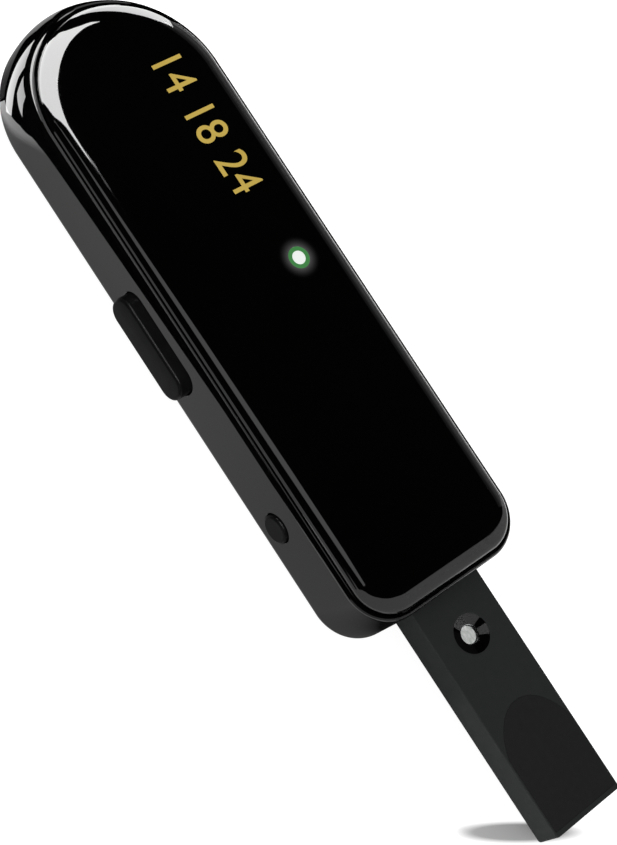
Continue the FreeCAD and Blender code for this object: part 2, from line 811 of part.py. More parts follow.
def make_board_parts():
    """Small capacitors and resistors in four groups on the board's upper face."""
    capacitor, resistor = (2.0, 1.25, 0.9), (1.6, 0.8, 0.55)
    places = [(5.5, -9.0 - 2.5 * i) for i in range(3)] + [(-9.4, -9.5 - 2.5 * i) for i in range(3)]
    places += [(-2.0 - 2.5 * i, -27.0) for i in range(2)] + [(7.5, -20.0 - 2.5 * i) for i in range(2)]
    places += [(-1.0 + 3.0 * i, 6.0) for i in range(2)]
    pieces = []
    for number, (x, y) in enumerate(places):
        length, width, height = resistor if number % 3 else capacitor
        pieces.append(box("small_part_%d" % number, (x - length / 2, y - width / 2, board_top),
                          (x + length / 2, y + width / 2, board_top + height)))
    return fuse("board_parts", pieces)


def make_led_chip():
    """Surface-mount lamp under the light pipe."""
    half_x, half_y = d.led_width / 2, d.led_length / 2
    base = box("led_base", (d.light_x - half_x, d.light_y - half_y, board_top),
               (d.light_x + half_x, d.light_y + half_y, board_top + d.led_height))
    lens = cylinder("led_lens", (d.light_x, d.light_y, board_top + d.led_height), half_y - 0.1, d.led_lens)
    return fuse("led_chip", [base, lens])


def make_light_pipe():
    """Clear core that carries the lamp's light through the panel, with a flange at its lower end."""
    place = (d.light_x, d.light_y, board_top + d.pipe_lift)
    rod = cylinder("pipe_rod", place, d.light_core,
                   face_height + d.pipe_proud - board_top - d.pipe_lift)
    flange = cylinder("pipe_flange", place, d.light_rim, d.light_flange_height)
    return fuse("light_pipe", [rod, flange])


def make_light_ring():
    """Green ring round the core, with a flange behind the panel."""
    outer = cylinder("ring_outer", (d.light_x, d.light_y, ceiling), d.light_rim,
                     face_height - ceiling + d.ring_proud)
    flange = cylinder("ring_flange", (d.light_x, d.light_y, ceiling - d.light_flange_height),
                      d.light_rim + d.light_flange, d.light_flange_height)
    bore = cylinder("ring_bore", (d.light_x, d.light_y, board_top), d.light_core + d.lens_play,
                    face_height - board_top + d.over_cut)
    return cut("light_ring", fuse("ring_solid", [outer, flange]), [bore])


def make_buzzer():
    """Round sounder with a hole in its lid."""
    can = cylinder("buzzer_can", (-3.6, d.cell_place, board_top), d.buzzer_radius, d.buzzer_height)
    hole = cylinder("buzzer_mouth", (-3.6, d.cell_place, board_top + d.buzzer_height / 2),
                    d.buzzer_hole, d.buzzer_height)
    return cut("buzzer", can, [hole])


# ---------------------------------------------------------------- buttons and their switches
button_inner = -inner_wall + d.flange_gap
flange_inner = button_inner + d.flange_thickness
stem_inner = flange_inner + d.stem_length
plunger_face = stem_inner + d.button_travel + d.press_gap


def add_stem(body, place, half):
    """The tongue behind a button's flange that pushes its switch."""
    sketch = new_sketch(body, "YZ_Plane", flange_inner)
    rectangle(sketch, place - half, d.buttons_height - d.stem_low,
              place + half, d.buttons_height + d.stem_high)
    pad(body, sketch, d.stem_length)


def make_test_button():
    """Long button: rounded bar through the wall, flange inside it, stem towards the switch."""
    body = new_body("test_button")
    reach_y, reach_z = d.test_length / 2, d.test_width / 2
    outer = -(half_width + d.test_proud)
    sketch = new_sketch(body, "YZ_Plane", outer)
    rectangle(sketch, d.test_place - reach_y, d.buttons_height - reach_z,
              d.test_place + reach_y, d.buttons_height + reach_z)
    pad(body, sketch, button_inner - outer)
    fillet(body, bar_corners(body, reach_y.value, reach_z.value), d.test_round)
    fillet(body, edges_where(body, lambda p: near(p.x, outer)), d.test_edge)
    sketch = new_sketch(body, "YZ_Plane", button_inner)
    rim_y, rim_z = reach_y + d.flange_rim, reach_z + d.flange_lift
    rectangle(sketch, d.test_place - rim_y, d.buttons_height - rim_z,
              d.test_place + rim_y, d.buttons_height + rim_z)
    pad(body, sketch, d.flange_thickness)
    add_stem(body, d.test_place, d.stem_half)
    return body


def make_power_button():
    """Round button with a flange and a stem."""
    body = new_body("power_button")
    outer = -(half_width + d.power_proud)
    sketch = new_sketch(body, "YZ_Plane", outer)
    circle(sketch, d.power_place, d.buttons_height, d.power_radius)
    pad(body, sketch, button_inner - outer)
    fillet(body, edges_where(body, lambda p: near(p.x, outer)), d.power_edge)
    sketch = new_sketch(body, "YZ_Plane", button_inner)
    circle(sketch, d.power_place, d.buttons_height, d.power_radius + d.flange_rim)
    pad(body, sketch, d.flange_thickness)
    add_stem(body, d.power_place, d.stem_half / 2)
    return body


def make_switch(label, place):
    """Side-acting tact switch hung under the board's edge."""
    inner = plunger_face + d.plunger_length
    case = box(label + "_case", (inner, place - d.switch_half, d.buttons_height - d.over_cut),
               (inner + d.switch_depth, place + d.switch_half, d.board_base))
    plunger = box(label + "_plunger", (plunger_face, place - d.plunger_half, d.buttons_height),
                  (inner, place + d.plunger_half, d.buttons_height + d.plunger_height))
    return fuse(label, [case, plunger])


# ---------------------------------------------------------------- probe arm
def make_arm_guide():
    """Channel for the arm: a floor, two rails with ledges and lips, and grooves for the arm's ears."""
    body = new_body("arm_guide")
    outer = d.guide_width / 2
    bore = arm_half + d.guide_side_play
    base = d.floor_wall
    floor = base + d.guide_floor
    ledge, ledge_top = bore - d.guide_ledge, d.arm_base - d.guide_play
    lip, lip_base = bore - d.guide_lip, arm_face + d.guide_play
    top = d.board_base - d.guide_top_gap
    sketch = new_sketch(body, "XZ_Plane", -d.guide_low)
    polygon(sketch, [
        (-outer, base), (outer, base), (outer, top), (lip, top), (lip, lip_base), (bore, lip_base),
        (bore, ledge_top), (ledge, ledge_top), (ledge, floor), (-ledge, floor), (-ledge, ledge_top),
        (-bore, ledge_top), (-bore, lip_base), (-lip, lip_base), (-lip, top), (-outer, top)])
    pad(body, sketch, d.guide_high - d.guide_low, reverse=True)
    groove = arm_half + d.ear_width + d.ear_play
    middle = d.arm_base + d.arm_thickness / 2
    reach = d.ear_height / 2 + d.ear_play
    sketch = new_sketch(body, "XZ_Plane", -d.guide_high)
    rectangle(sketch, -groove, middle - reach, groove, middle + reach)
    pocket(body, sketch, d.guide_high - d.arm_tail + d.ear_length + d.ear_play, reverse=True)
    return body


def make_pad_form(name, top):
    """The pad's form: straight sides and an elliptical arch, from its bed up to the given height."""
    bed = arm_face - d.pad_thickness
    straight = box(name + "_straight", (-d.pad_half_width, d.pad_end, bed),
                   (d.pad_half_width, d.pad_centre, top))
    ellipse = doc.addObject("Part::Ellipse", name + "_ellipse")
    bind(ellipse, "MajorRadius", d.pad_apex - d.pad_centre)
    bind(ellipse, "MinorRadius", d.pad_ellipse)
    ellipse.Placement = FreeCAD.Placement(V(0, 0, 0), FreeCAD.Rotation(V(0, 0, 1), 90))
    bind(ellipse, "Placement.Base.y", d.pad_centre)
    bind(ellipse, "Placement.Base.z", bed)
    disc = doc.addObject("Part::Extrusion", name + "_disc")
    disc.Base = ellipse
    disc.DirMode = "Custom"
    disc.Dir = V(0, 0, 1)
    disc.Solid = True
    bind(disc, "LengthFwd", top - bed)
    frame = box(name + "_frame", (-d.pad_half_width, d.pad_centre, bed - d.over_cut),
                (d.pad_half_width, d.pad_apex + d.over_cut, top + d.over_cut))
    arch = doc.addObject("Part::Common", name + "_arch")
    arch.Base = disc
    arch.Tool = frame
    return fuse(name, [straight, arch])


def strip_places():
    """Name, place across and far end of each metal strip under the arm."""
    pin_place = d.pad_end + d.pad_pin
    return [("contact_strip", Size.of(0), d.well_place - d.strip_width),
            ("pad_strip", d.pad_strip_place, pin_place - d.strip_width)]


def make_probe_arm():
    """Blade with rounded edges, stop ears, a shallow conical well with a bore, a bed for the pad
    and two shallow channels underneath for the metal strips."""
    body = new_body("probe_blade")
    sketch = new_sketch(body, offset=d.arm_base)
    rectangle(sketch, -arm_half, d.arm_end, arm_half, d.arm_tail)
    pad(body, sketch, d.arm_thickness)
    fillet(body, edges_where(body, lambda p: near(abs(p.x), arm_half) and near(p.y, d.arm_end)),
           d.arm_corner)

    def rims(p):
        return (near(p.z, d.arm_base) or near(p.z, arm_face)) and not near(p.y, d.arm_tail)
    fillet(body, edges_where(body, rims), d.arm_edge)
    middle = d.arm_base + d.arm_thickness / 2
    ears = box("arm_ears", (-(arm_half + d.ear_width), d.arm_tail - d.ear_length, middle - d.ear_height / 2),
               (arm_half + d.ear_width, d.arm_tail, middle + d.ear_height / 2))
    below = d.arm_base - d.over_cut
    funnel = cone("well_funnel", (0, d.well_place, arm_face - d.well_depth),
                  d.well_bore, d.well_radius, d.well_depth)
    seat = cylinder("well_seat", (0, d.well_place, arm_face - d.well_seat), d.well_bore, d.well_seat)
    stem_hole = cylinder("well_stem_hole", (0, d.well_place, below),
                         d.contact_stem + d.pilot_play, arm_face - d.well_seat - below + d.over_cut)
    pin_hole = cylinder("pad_pin_hole", (d.pad_strip_place, d.pad_end + d.pad_pin, below),
                        d.pad_pin_radius + d.pilot_play, d.arm_thickness)
    tools = [funnel, seat, stem_hole, pin_hole, make_pad_form("pad_bed", arm_face + d.over_cut)]
    for name, x, y in strip_places():
        half = d.strip_width / 2 + d.strip_play
        tools.append(box(name + "_channel", (x - half, y - d.strip_play, below),
                         (x + half, d.arm_tail - d.strip_back + d.strip_play, d.arm_base + d.strip_thickness)))
    return cut("probe_arm", fuse("probe_solid", [body, ears]), tools)


def make_strip(name, x, y):
    """Flat metal strip in its channel, flush with the arm's hidden face."""
    half = d.strip_width / 2
    return box(name, (x - half, y, d.arm_base),
               (x + half, d.arm_tail - d.strip_back, d.arm_base + d.strip_thickness))


def make_pad_strip(name, x, y):
    """Strip with an upright pin that reaches the pad."""
    upright = cylinder("pad_pin", (x, d.pad_end + d.pad_pin, d.arm_base), d.pad_pin_radius,
                       d.arm_thickness - d.pad_thickness)
    return fuse(name, [make_strip("pad_strip_flat", x, y), upright])


def make_well_ring():
    """Thin metal liner at the top of the well's bore."""
    base = arm_face - d.well_depth - d.liner_height
    outer = cylinder("liner_outer", (0, d.well_place, base), d.well_bore, d.liner_height)
    inner = cylinder("liner_inner", (0, d.well_place, base - d.over_cut), d.well_bore - d.liner_wall,
                     d.liner_height + d.over_cut * 2)
    return cut("well_ring", outer, [inner])


def make_well_contact():
    """Sensing contact: a disc on a stem that reaches its strip."""
    seat = arm_face - d.well_seat
    strip_top = d.arm_base + d.strip_thickness
    disc = cylinder("contact_disc", (0, d.well_place, seat), d.contact_radius, d.well_seat - d.contact_depth)
    stem = cylinder("contact_stem", (0, d.well_place, strip_top), d.contact_stem, seat - strip_top)
    return fuse("well_contact", [disc, stem])


def make_wiper_springs():
    """Two bent leaves: up to the strips near the slot, along the guide's floor, and up to the board."""
    base = d.floor_wall + d.guide_floor + d.pilot_play
    bend, back = -35.4, d.guide_high + 0.6
    springs = []
    for number, x in enumerate((Size.of(0), d.pad_strip_place)):
        name = "wiper_%d" % number
        low, high = x - d.wiper_width / 2, x + d.wiper_width / 2
        run = box(name + "_run", (low, bend - 0.1, base), (high, back, base + d.wiper_thickness))
        slope = sloped_leaf(name + "_slope", x, d.wiper_width, (bend - 4.2, d.arm_base.value - 0.2),
                            (bend, base.value), d.wiper_thickness)
        leg = box(name + "_leg", (low, back - d.wiper_thickness, base), (high, back, d.board_base))
        springs.append(fuse(name, [run, slope, leg]))
    return fuse("wiper_springs", springs)


# ---------------------------------------------------------------- build, check and write
nodes = [
    make_rear_shell(), make_front_cover(), make_cover_seal(), make_case_screws(),
    make_battery_door(), make_door_screw(), make_coin_cell(), make_cell_cradle(),
    make_cell_top_spring(), make_cell_side_spring(), make_main_board(), make_board_screws(),
    make_chip("processor_chip", -2.4, -12.0, 7.0, 7.0, 1.1, 9, 4),
    make_chip("sensing_chip", 2.6, -22.0, 4.0, 5.0, 1.5, 4, 2),
    make_board_parts(), make_led_chip(), make_light_pipe(), make_light_ring(), make_buzzer(),
    make_test_button(), make_power_button(),
    make_switch("test_switch", d.test_place), make_switch("power_switch", d.power_place),
    make_arm_guide(), make_probe_arm(), make_pad_form("arm_pad", arm_face),
    make_well_ring(), make_well_contact(), make_strip(*strip_places()[0]),
    make_pad_strip(*strip_places()[1]), make_wiper_springs(),
]

doc.recompute()
for thing in doc.Objects:
    if "Invalid" in thing.State or "Error" in thing.State:
        raise RuntimeError("%s failed: %s" % (thing.Label, thing.State))
for node in nodes:
    if node.Shape.isNull() or not node.Shape.isValid():
        raise RuntimeError("%s has no valid shape" % node.Label)
os.makedirs("parts", exist_ok=True)
for node in nodes:
    node.Shape.exportStep("parts/%s.step" % node.Label)
    print("%-18s %2d solid(s) %9.2f mm3" % (node.Label, len(node.Shape.Solids), node.Shape.Volume))
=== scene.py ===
# %% [markdown]
# # A pocket gold tester and its finishes
# The tester is a slim black case with two buttons on its left side, a light on its face, and a flat probe
# arm that slides out of its square end. The frame holds its solids at their real size, and this file gives
# them their looks. The solids could simply take materials, but a mirror-like finish shows every facet of a
# coarse surface. So the visible pieces are drawn again as fine surfaces, and only the inner parts keep
# their own meshes. Lengths are in metres, and MM turns millimetres into them.

import math

import bmesh
import bpy
import numpy as np
from mathutils import Matrix, Vector


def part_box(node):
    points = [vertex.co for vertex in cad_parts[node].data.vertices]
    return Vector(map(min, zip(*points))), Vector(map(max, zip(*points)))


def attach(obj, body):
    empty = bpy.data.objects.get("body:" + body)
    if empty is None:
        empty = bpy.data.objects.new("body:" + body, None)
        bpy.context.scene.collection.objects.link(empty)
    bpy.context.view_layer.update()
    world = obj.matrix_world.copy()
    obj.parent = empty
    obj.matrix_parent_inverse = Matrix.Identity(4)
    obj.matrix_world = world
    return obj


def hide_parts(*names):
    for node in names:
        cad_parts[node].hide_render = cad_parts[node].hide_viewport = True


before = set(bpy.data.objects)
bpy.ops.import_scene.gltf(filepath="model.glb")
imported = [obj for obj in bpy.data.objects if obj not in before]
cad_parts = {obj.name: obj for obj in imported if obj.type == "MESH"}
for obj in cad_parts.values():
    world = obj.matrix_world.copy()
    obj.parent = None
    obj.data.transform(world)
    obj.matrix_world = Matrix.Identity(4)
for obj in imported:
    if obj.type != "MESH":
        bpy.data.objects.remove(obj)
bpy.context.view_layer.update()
MM = 0.001

# %% [markdown]
# ## Sizes taken from the frame
# A dressed piece has to sit exactly where its solid is, so its main sizes are read from the frame's boxes.
# Typing them again would work until the first change. Only what a box can't tell, such as the radius of a
# rounded edge, is written here.

# %% Main sizes
tub_low, tub_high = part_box("rear_shell")
cover_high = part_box("front_cover")[1]
half_width = tub_high.x
end_y = -tub_low.y
tub_depth = tub_high.z
face_z = cover_high.z
panel_inset = half_width - cover_high.x

# Rounds, insets and walls, which a box doesn't tell
corner_round = 6.7 * MM
end_swell = 2.5 * MM
back_round = 1.2 * MM
lip_round = 0.65 * MM
seam_inset = 0.75 * MM
ledge_z = tub_depth - 1.2 * MM
side_wall = 1.5 * MM
floor_wall = 1.4 * MM
panel_rim = 1.4 * MM
panel_foot = tub_depth - 0.85 * MM
ceiling_z = face_z - 1.2 * MM
print("case %.1f x %.1f x %.1f mm" % (2 * half_width / MM, 2 * end_y / MM, face_z / MM))

# %% [markdown]
# ## The camera
# The view is a long-lens one from the button side, about 57 degrees above the face. A camera can be aimed
# with a Track To constraint, but a plain matrix says the same thing once: its columns are the directions
# to the right, up and backwards, and the place where the camera stands.

# %% Camera
image_right = Vector((0.72714, -0.54672, 0.41517))
image_up = Vector((0.44273, 0.83567, 0.32505))
backwards = Vector((-0.52465, -0.05255, 0.84969))
camera_place = Vector((-0.14103, -0.03141, 0.23038))

camera_data = bpy.data.cameras.new("camera")
camera_data.lens = 83.93
camera_data.sensor_width = 36.0
camera_data.clip_start = 0.01
camera = bpy.data.objects.new("camera", camera_data)
bpy.context.scene.collection.objects.link(camera)
camera.matrix_world = Matrix.Translation(camera_place) @ Matrix(
    (image_right, image_up, backwards)).transposed().to_4x4()
bpy.context.scene.camera = camera
print("camera stands %.0f mm from the origin" % (camera_place.length / MM))

# %% [markdown]
# ## A surface as a stack of rings
# Almost every piece here is a profile carried round a closed outline: the tub, the panel, a button, a
# screw. Such a shape is a stack of closed rings. Spin and Bevel could make some of them, but as arrays
# they are one short function, the spacing of the rings is ours to choose, and the faces come out clean.

# %% Ring tools
def shell(rings, loop=False):
    """Points and faces of rings[v, u, 3]. Quads join ring v to ring v + 1, and u runs round and closes.
    The first and last ring get one flat face each, or with loop the last ring joins the first."""
    rings = np.asarray(rings, float)
    rows, around = rings.shape[:2]
    index = np.arange(rows * around).reshape(rows, around)
    here = index if loop else index[:-1]
    onward = np.roll(index, -1, 0) if loop else index[1:]
    quads = np.stack([here, np.roll(here, -1, 1), np.roll(onward, -1, 1), onward], -1)
    faces = quads.reshape(-1, 4).tolist()
    if not loop:
        faces += [index[0, ::-1].tolist(), index[-1].tolist()]
    return rings.reshape(-1, 3), faces


def make_piece(name, *shells):
    """One mesh object from one or more closed shells."""
    points, faces, first = [], [], 0
    for shell_points, shell_faces in shells:
        points.append(shell_points)
        faces += [[first + corner for corner in face] for face in shell_faces]
        first += len(shell_points)
    mesh = bpy.data.meshes.new(name)
    mesh.from_pydata(np.concatenate(points).tolist(), [], faces)
    mesh.update()
    piece = bpy.data.objects.new(name, mesh)
    bpy.context.scene.collection.objects.link(piece)
    return piece


# %% [markdown]
# ## Cutting and dressing a piece
# Holes are cut with Boolean modifiers, which are applied at once, so that a piece is one finished mesh and
# its cutters can go. Then every piece is dressed in the same way: smooth shading that stops at sharp
# creases, the body that it rides on, and the solids that it stands for. Auto-smooth shading alone would do,
# but it bends the light on a flat face next to a round, and weighted normals keep that face flat.

# %% Cut and dress
def carve(piece, *shells):
    """Take closed shells away from a piece for good, one after another."""
    cutters = [make_piece("cutter", one) for one in shells]
    for cutter in cutters:
        change = piece.modifiers.new("cut", "BOOLEAN")
        change.object = cutter
        change.solver = "EXACT"
    bpy.context.view_layer.update()
    carved = bpy.data.meshes.new_from_object(piece.evaluated_get(bpy.context.evaluated_depsgraph_get()))
    piece.modifiers.clear()
    piece.data = carved
    for cutter in cutters:
        bpy.data.objects.remove(cutter)


def dress(piece, body, slot, *nodes, crease=32):
    """Smooth shading with sharp creases, at an angle in degrees. The piece rides on a body and stands for the
    named solids. The slot is not used."""
    piece.data.shade_smooth()
    piece.data.set_sharp_from_angle(angle=math.radians(crease))
    flatten = piece.modifiers.new("flat_faces", "WEIGHTED_NORMAL")
    flatten.keep_sharp = True
    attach(piece, body)
    if nodes:
        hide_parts(*nodes)
    print("%-16s %6d faces" % (piece.name, len(piece.data.polygons)))


# %% [markdown]
# ## Outlines
# An outline is kept as points with their outward directions, so the same list serves at any inset: a
# point moves inwards along its own direction, and arcs stay arcs. Where a straight meets an arc there is
# one more point close by, which keeps the shading of the flat side from leaking into the curve. The name
# near stands for such a small step. A Bezier curve would do for the outline, but its bevel can't change the
# profile from ring to ring.

# %% Outline tools
near = 0.05 * MM


def arc(centre, radius, start, end, count):
    """Points of an arc, centre plus radius times (cos, sin), and their outward directions."""
    turn = np.radians(np.linspace(start, end, count + 1))
    outward = np.stack([np.cos(turn), np.sin(turn)], -1)
    return np.asarray(centre) + radius * outward, outward


def bend(centre, radius, start, end, count):
    """The points of an arc alone, for profiles."""
    return arc(centre, radius, start, end, count)[0]


def joined_arcs(arcs, support):
    """Closed outline of arcs joined by straights, each arc with one more point past both its ends."""
    points, outward = [], []
    for pieces in arcs:
        ring, away = arc(*pieces)
        along = np.stack([-away[:, 1], away[:, 0]], -1)
        points += [ring[:1] - support * along[:1], ring, ring[-1:] + support * along[-1:]]
        outward += [away[:1], away, away[-1:]]
    return np.concatenate(points), np.concatenate(outward)


def round_rectangle(half_a, half_b, radius, count=8):
    """Rectangle with round corners, centred on (0, 0)."""
    a, b = half_a - radius, half_b - radius
    return joined_arcs([
        ((a, -b), radius, -90, 0, count), ((a, b), radius, 0, 90, count),
        ((-a, b), radius, 90, 180, count), ((-a, -b), radius, 180, 270, count)],
        min(near, a / 3, b / 3))


def circle(radius, count=96):
    """Round outline centred on (0, 0)."""
    turn = np.linspace(0, 2 * math.pi, count, endpoint=False)
    outward = np.stack([np.cos(turn), np.sin(turn)], -1)
    return radius * outward, outward


# %% [markdown]
# ## Rings from an outline and a profile
# A profile says what each ring does: how far it lies inside the outline, and how high it stands. The tub and
# the panel stand up, the buttons reach out to the left, and the arm's slot reaches to the front. Each could
# be made upright and then turned, but every finished piece has to stay unturned, so the same rings are laid
# out along another axis instead.

# %% Rings
def rise(outline, profile, place=(0, 0)):
    """Rings that stand on the XY plane: each profile point is (inset of the outline, height)."""
    points, outward = outline
    profile = np.asarray(profile, float)
    flat = points[None] - profile[:, :1, None] * outward[None] + np.asarray(place)
    height = np.broadcast_to(profile[:, 1, None, None], flat.shape[:2] + (1,))
    return np.concatenate([flat, height], -1)


def reach_left(outline, profile, place):
    """Rings that reach towards -X from a place (y, z): each profile point is (inset, x)."""
    flat = rise(outline, profile)
    return np.stack([flat[..., 2], place[0] - flat[..., 0], place[1] + flat[..., 1]], -1)


def reach_front(outline, profile, place):
    """Rings that reach towards -Y from a place (x, z): each profile point is (inset, y)."""
    flat = rise(outline, profile)
    return np.stack([place[0] + flat[..., 0], flat[..., 2], place[1] + flat[..., 1]], -1)


# %% Outline of the case
side_x = half_width - corner_round
corner_steps, end_steps = 60, 220
straight_step = 0.2 * MM
case_outline = joined_arcs([
    ((side_x, -end_y + corner_round), corner_round, -90, 0, corner_steps),
    ((0, end_y - half_width), half_width, 0, 180, end_steps),
    ((-side_x, -end_y + corner_round), corner_round, 180, 270, corner_steps)], straight_step)
print("case outline:", len(case_outline[0]), "points")

# %% [markdown]
# ## The tub
# The tub is one moulding: a rounded back edge, a plain wall, a small round at the lip, and a ledge that
# the panel sinks into. Its profile is drawn once, from the back face up the outside, over the lip and
# down the inside. The round end also leans out towards the back, which a Bevel could not give, so the end
# of each ring is moved out by a formula in its height.

# %% Tub
wall_rows, round_steps = 25, 16
wall_heights = np.linspace(back_round + near, tub_depth - lip_round - near, wall_rows)
tub_profile = np.concatenate([
    bend((back_round, back_round), back_round, 270, 180, round_steps),
    np.stack([np.zeros(wall_rows), wall_heights], -1),
    bend((lip_round, tub_depth - lip_round), lip_round, 180, 90, round_steps),
    [(seam_inset - near, tub_depth), (seam_inset, tub_depth - near), (seam_inset, ledge_z),
     (side_wall, ledge_z), (side_wall, floor_wall)]])
end_start = end_y - half_width - 1.5 * straight_step


def lean_out(rings):
    """Move the round end of every ring along Y, by end_swell times one minus the cube of the height over
    the tub's depth: most at the back, nothing at the lip."""
    out = end_swell * (1 - (rings[..., 2] / tub_depth) ** 3)
    rings[..., 1] += np.where(rings[..., 1] > end_start, out, 0)
    return rings


tub = make_piece("tub", shell(lean_out(rise(case_outline, tub_profile))))
print("the round end leans out %.1f mm" % (end_swell / MM))

# %% [markdown]
# ## The openings in the tub
# Both buttons, the arm, the cell's door and four screws each need a hole. The rings could be drawn round
# the holes by hand, but a Boolean with a cutter of the same outline as the piece that goes through can't
# miss, and the play between the two is one named number. The cutters of the side and end walls widen at the
# outer face, which breaks the sharp edge of the hole. All cuts pass through flat stretches, where they
# leave the shading untouched.

# %% Places of the openings
button_z = 4.65 * MM
bar_half_y, bar_half_z, bar_round = 7.75 * MM, 2.55 * MM, 2.2 * MM
power_radius = 2.1 * MM
button_play = 0.15 * MM
test_low, test_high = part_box("test_button")
power_low, power_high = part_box("power_button")
test_place = ((test_low.y + test_high.y) / 2, button_z)
power_place = ((power_low.y + power_high.y) / 2, button_z)

arm_low, arm_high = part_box("probe_arm")
ear_width = 0.6 * MM
arm_half = arm_high.x - ear_width
arm_middle = (arm_low.z + arm_high.z) / 2
slot_play = 0.4 * MM

door_low, door_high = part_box("battery_door")
door_middle = (0, (door_low.y + door_high.y) / 2)
door_half = (door_high.x, (door_high.y - door_low.y) / 2)
door_plate, door_play, door_corner = 0.78 * MM, 0.15 * MM, 0.9 * MM
screw_head, screw_shank, head_play = 1.35 * MM, 0.8 * MM, 0.15 * MM
door_screw_place = (0, 10.6 * MM)
case_screw_pairs = ((8.4 * MM, 38.0 * MM), (10.0 * MM, -40.4 * MM))
case_screw_places = [(side * x, y) for x, y in case_screw_pairs for side in (1, -1)]
print("button holes at y %.1f and %.1f mm" % (test_place[0] / MM, power_place[0] / MM))

# %% Open the tub
edge_break, slot_corner = 0.1 * MM, 0.3 * MM
cut_depth, past = 2.0 * MM, 1.0 * MM
wall_x = -half_width
screw_floor = floor_wall + 0.2 * MM


def through(wall):
    """Cutter profile of (inset, place along the cut), from inside a wall's outer face to past it."""
    return [(0, wall + cut_depth), (0, wall + edge_break), (-edge_break, wall), (-edge_break, wall - past)]


bar_hole = round_rectangle(bar_half_y + button_play, bar_half_z + button_play, bar_round + button_play, 16)
slot_hole = round_rectangle(arm_half + slot_play, (arm_high.z - arm_low.z) / 2 + slot_play, slot_corner)
door_hole = round_rectangle(door_half[0] + door_play, door_half[1] + door_play, door_corner)
screw_hole = circle(screw_head + head_play, 64)
carve(
    tub,
    shell(reach_left(bar_hole, through(wall_x), test_place)),
    shell(reach_left(circle(power_radius + button_play), through(wall_x), power_place)),
    shell(reach_front(slot_hole, through(-end_y), (0, arm_middle))),
    shell(rise(door_hole, [(0, -past), (0, door_plate)], door_middle)),
    *[shell(rise(screw_hole, [(0, -past), (0, screw_floor)], place)) for place in case_screw_places])
dress(tub, "case", "case_black", "rear_shell")

# %% [markdown]
# ## The panel
# The front panel is flat in its middle and falls away near its edge: a broad round that starts level with
# the face, then a tight one down into the seam. A Bevel gives one round and not two, so the profile is
# written out. Its two arcs share a tangent where they meet, because on a glossy finish a reflection jumps at
# every sudden change of slope.

# %% Panel
tight_round, broad_round = 1.0 * MM, 14.2 * MM
crown_steps = 28
crown = face_z - tub_depth
arc_gap = broad_round - tight_round
turn = math.degrees(math.asin((broad_round - crown) / arc_gap))
tight_centre = np.array([panel_inset + tight_round, tub_depth])
slope = math.radians(turn)
broad_centre = tight_centre + arc_gap * np.array([math.cos(slope), -math.sin(slope)])
panel_profile = np.concatenate([
    [(panel_inset + panel_rim, ceiling_z), (panel_inset + panel_rim, panel_foot),
     (panel_inset, panel_foot), (panel_inset, tub_depth - near)],
    bend(tight_centre, tight_round, 180, 180 - turn, crown_steps),
    bend(broad_centre, broad_round, 180 - turn, 90, crown_steps)[1:],
    [broad_centre * (1, 0) + (near, face_z)]])
panel = make_piece("panel", shell(rise(case_outline, panel_profile)))
print("the panel rises %.2f mm above the tub" % (crown / MM))

# %% Hole for the light
light_low, light_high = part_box("light_ring")
light_place = ((light_low.x + light_high.x) / 2, (light_low.y + light_high.y) / 2)
lens_radius, rim_radius = 0.97 * MM, 1.6 * MM
through_panel = [(0, ceiling_z - past), (0, face_z - near), (-near, face_z + past)]
carve(panel, shell(rise(circle(rim_radius), through_panel, light_place)))
dress(panel, "case", "panel_black", "front_cover")

# %% [markdown]
# ## The buttons
# Both buttons are caps that stick out through the side wall, each with a flange behind it that keeps it
# in. The cap's edge is rounded, and this thin bright line is most of what shows of a black button. A
# bevelled cube would do for a box, but the long button's ends are nearly half circles, so its outline is
# carried along X like the others.

# %% Buttons
flange_gap, flange_thick, stem_length = 0.1 * MM, 0.6 * MM, 0.65 * MM
flange_rim, flange_lift, flange_corner = 0.75 * MM, 0.4 * MM, 0.2 * MM
stem_half_y = {"long_key": 2.0 * MM, "round_key": 1.0 * MM}
stem_half_z, stem_lift, stem_corner = 1.1 * MM, 0.5 * MM, 0.2 * MM
long_edge, round_edge = 0.45 * MM, 0.4 * MM


def push_button(name, outline, place, outer_x, edge, flange, body, node):
    """A cap along X with a rounded outer edge, a flange inside the wall and a stem behind the flange."""
    inner_x = wall_x + side_wall + flange_gap
    flange_x = inner_x + flange_thick
    stem_x = flange_x + stem_length
    cap = [(0, inner_x), (0, outer_x + edge + near)]
    rounded = bend((edge, outer_x + edge), edge, 180, 270, 12)
    stem_outline = round_rectangle(stem_half_y[name], stem_half_z, stem_corner)
    stem_place = (place[0], place[1] + stem_lift)
    piece = make_piece(
        name,
        shell(reach_left(outline, np.concatenate([cap, rounded]), place)),
        shell(reach_left(flange, [(0, flange_x), (0, inner_x)], place)),
        shell(reach_left(stem_outline, [(0, stem_x), (0, flange_x)], stem_place)))
    dress(piece, body, "button_black", node)
    return piece


bar_outline = round_rectangle(bar_half_y, bar_half_z, bar_round, 24)
bar_flange = round_rectangle(bar_half_y + flange_rim, bar_half_z + flange_lift, flange_corner)
long_key = push_button(
    "long_key", bar_outline, test_place, test_low.x, long_edge, bar_flange, "long_button", "test_button")
round_key = push_button(
    "round_key", circle(power_radius), power_place, power_low.x, round_edge,
    circle(power_radius + flange_rim), "round_button", "power_button")

# %% [markdown]
# ## The probe arm
# The arm is a flat blade with softened edges, and two ears at its tail keep it from coming out. Near its
# root it has the gel well, and towards its tip a dark pad is let into it. A bevelled cube would do for the
# blade, but its two far corners and its tail corners differ, so an outline of its own is simpler. The pad
# has straight sides and an arched end, and the arch is a stretch of an ellipse.

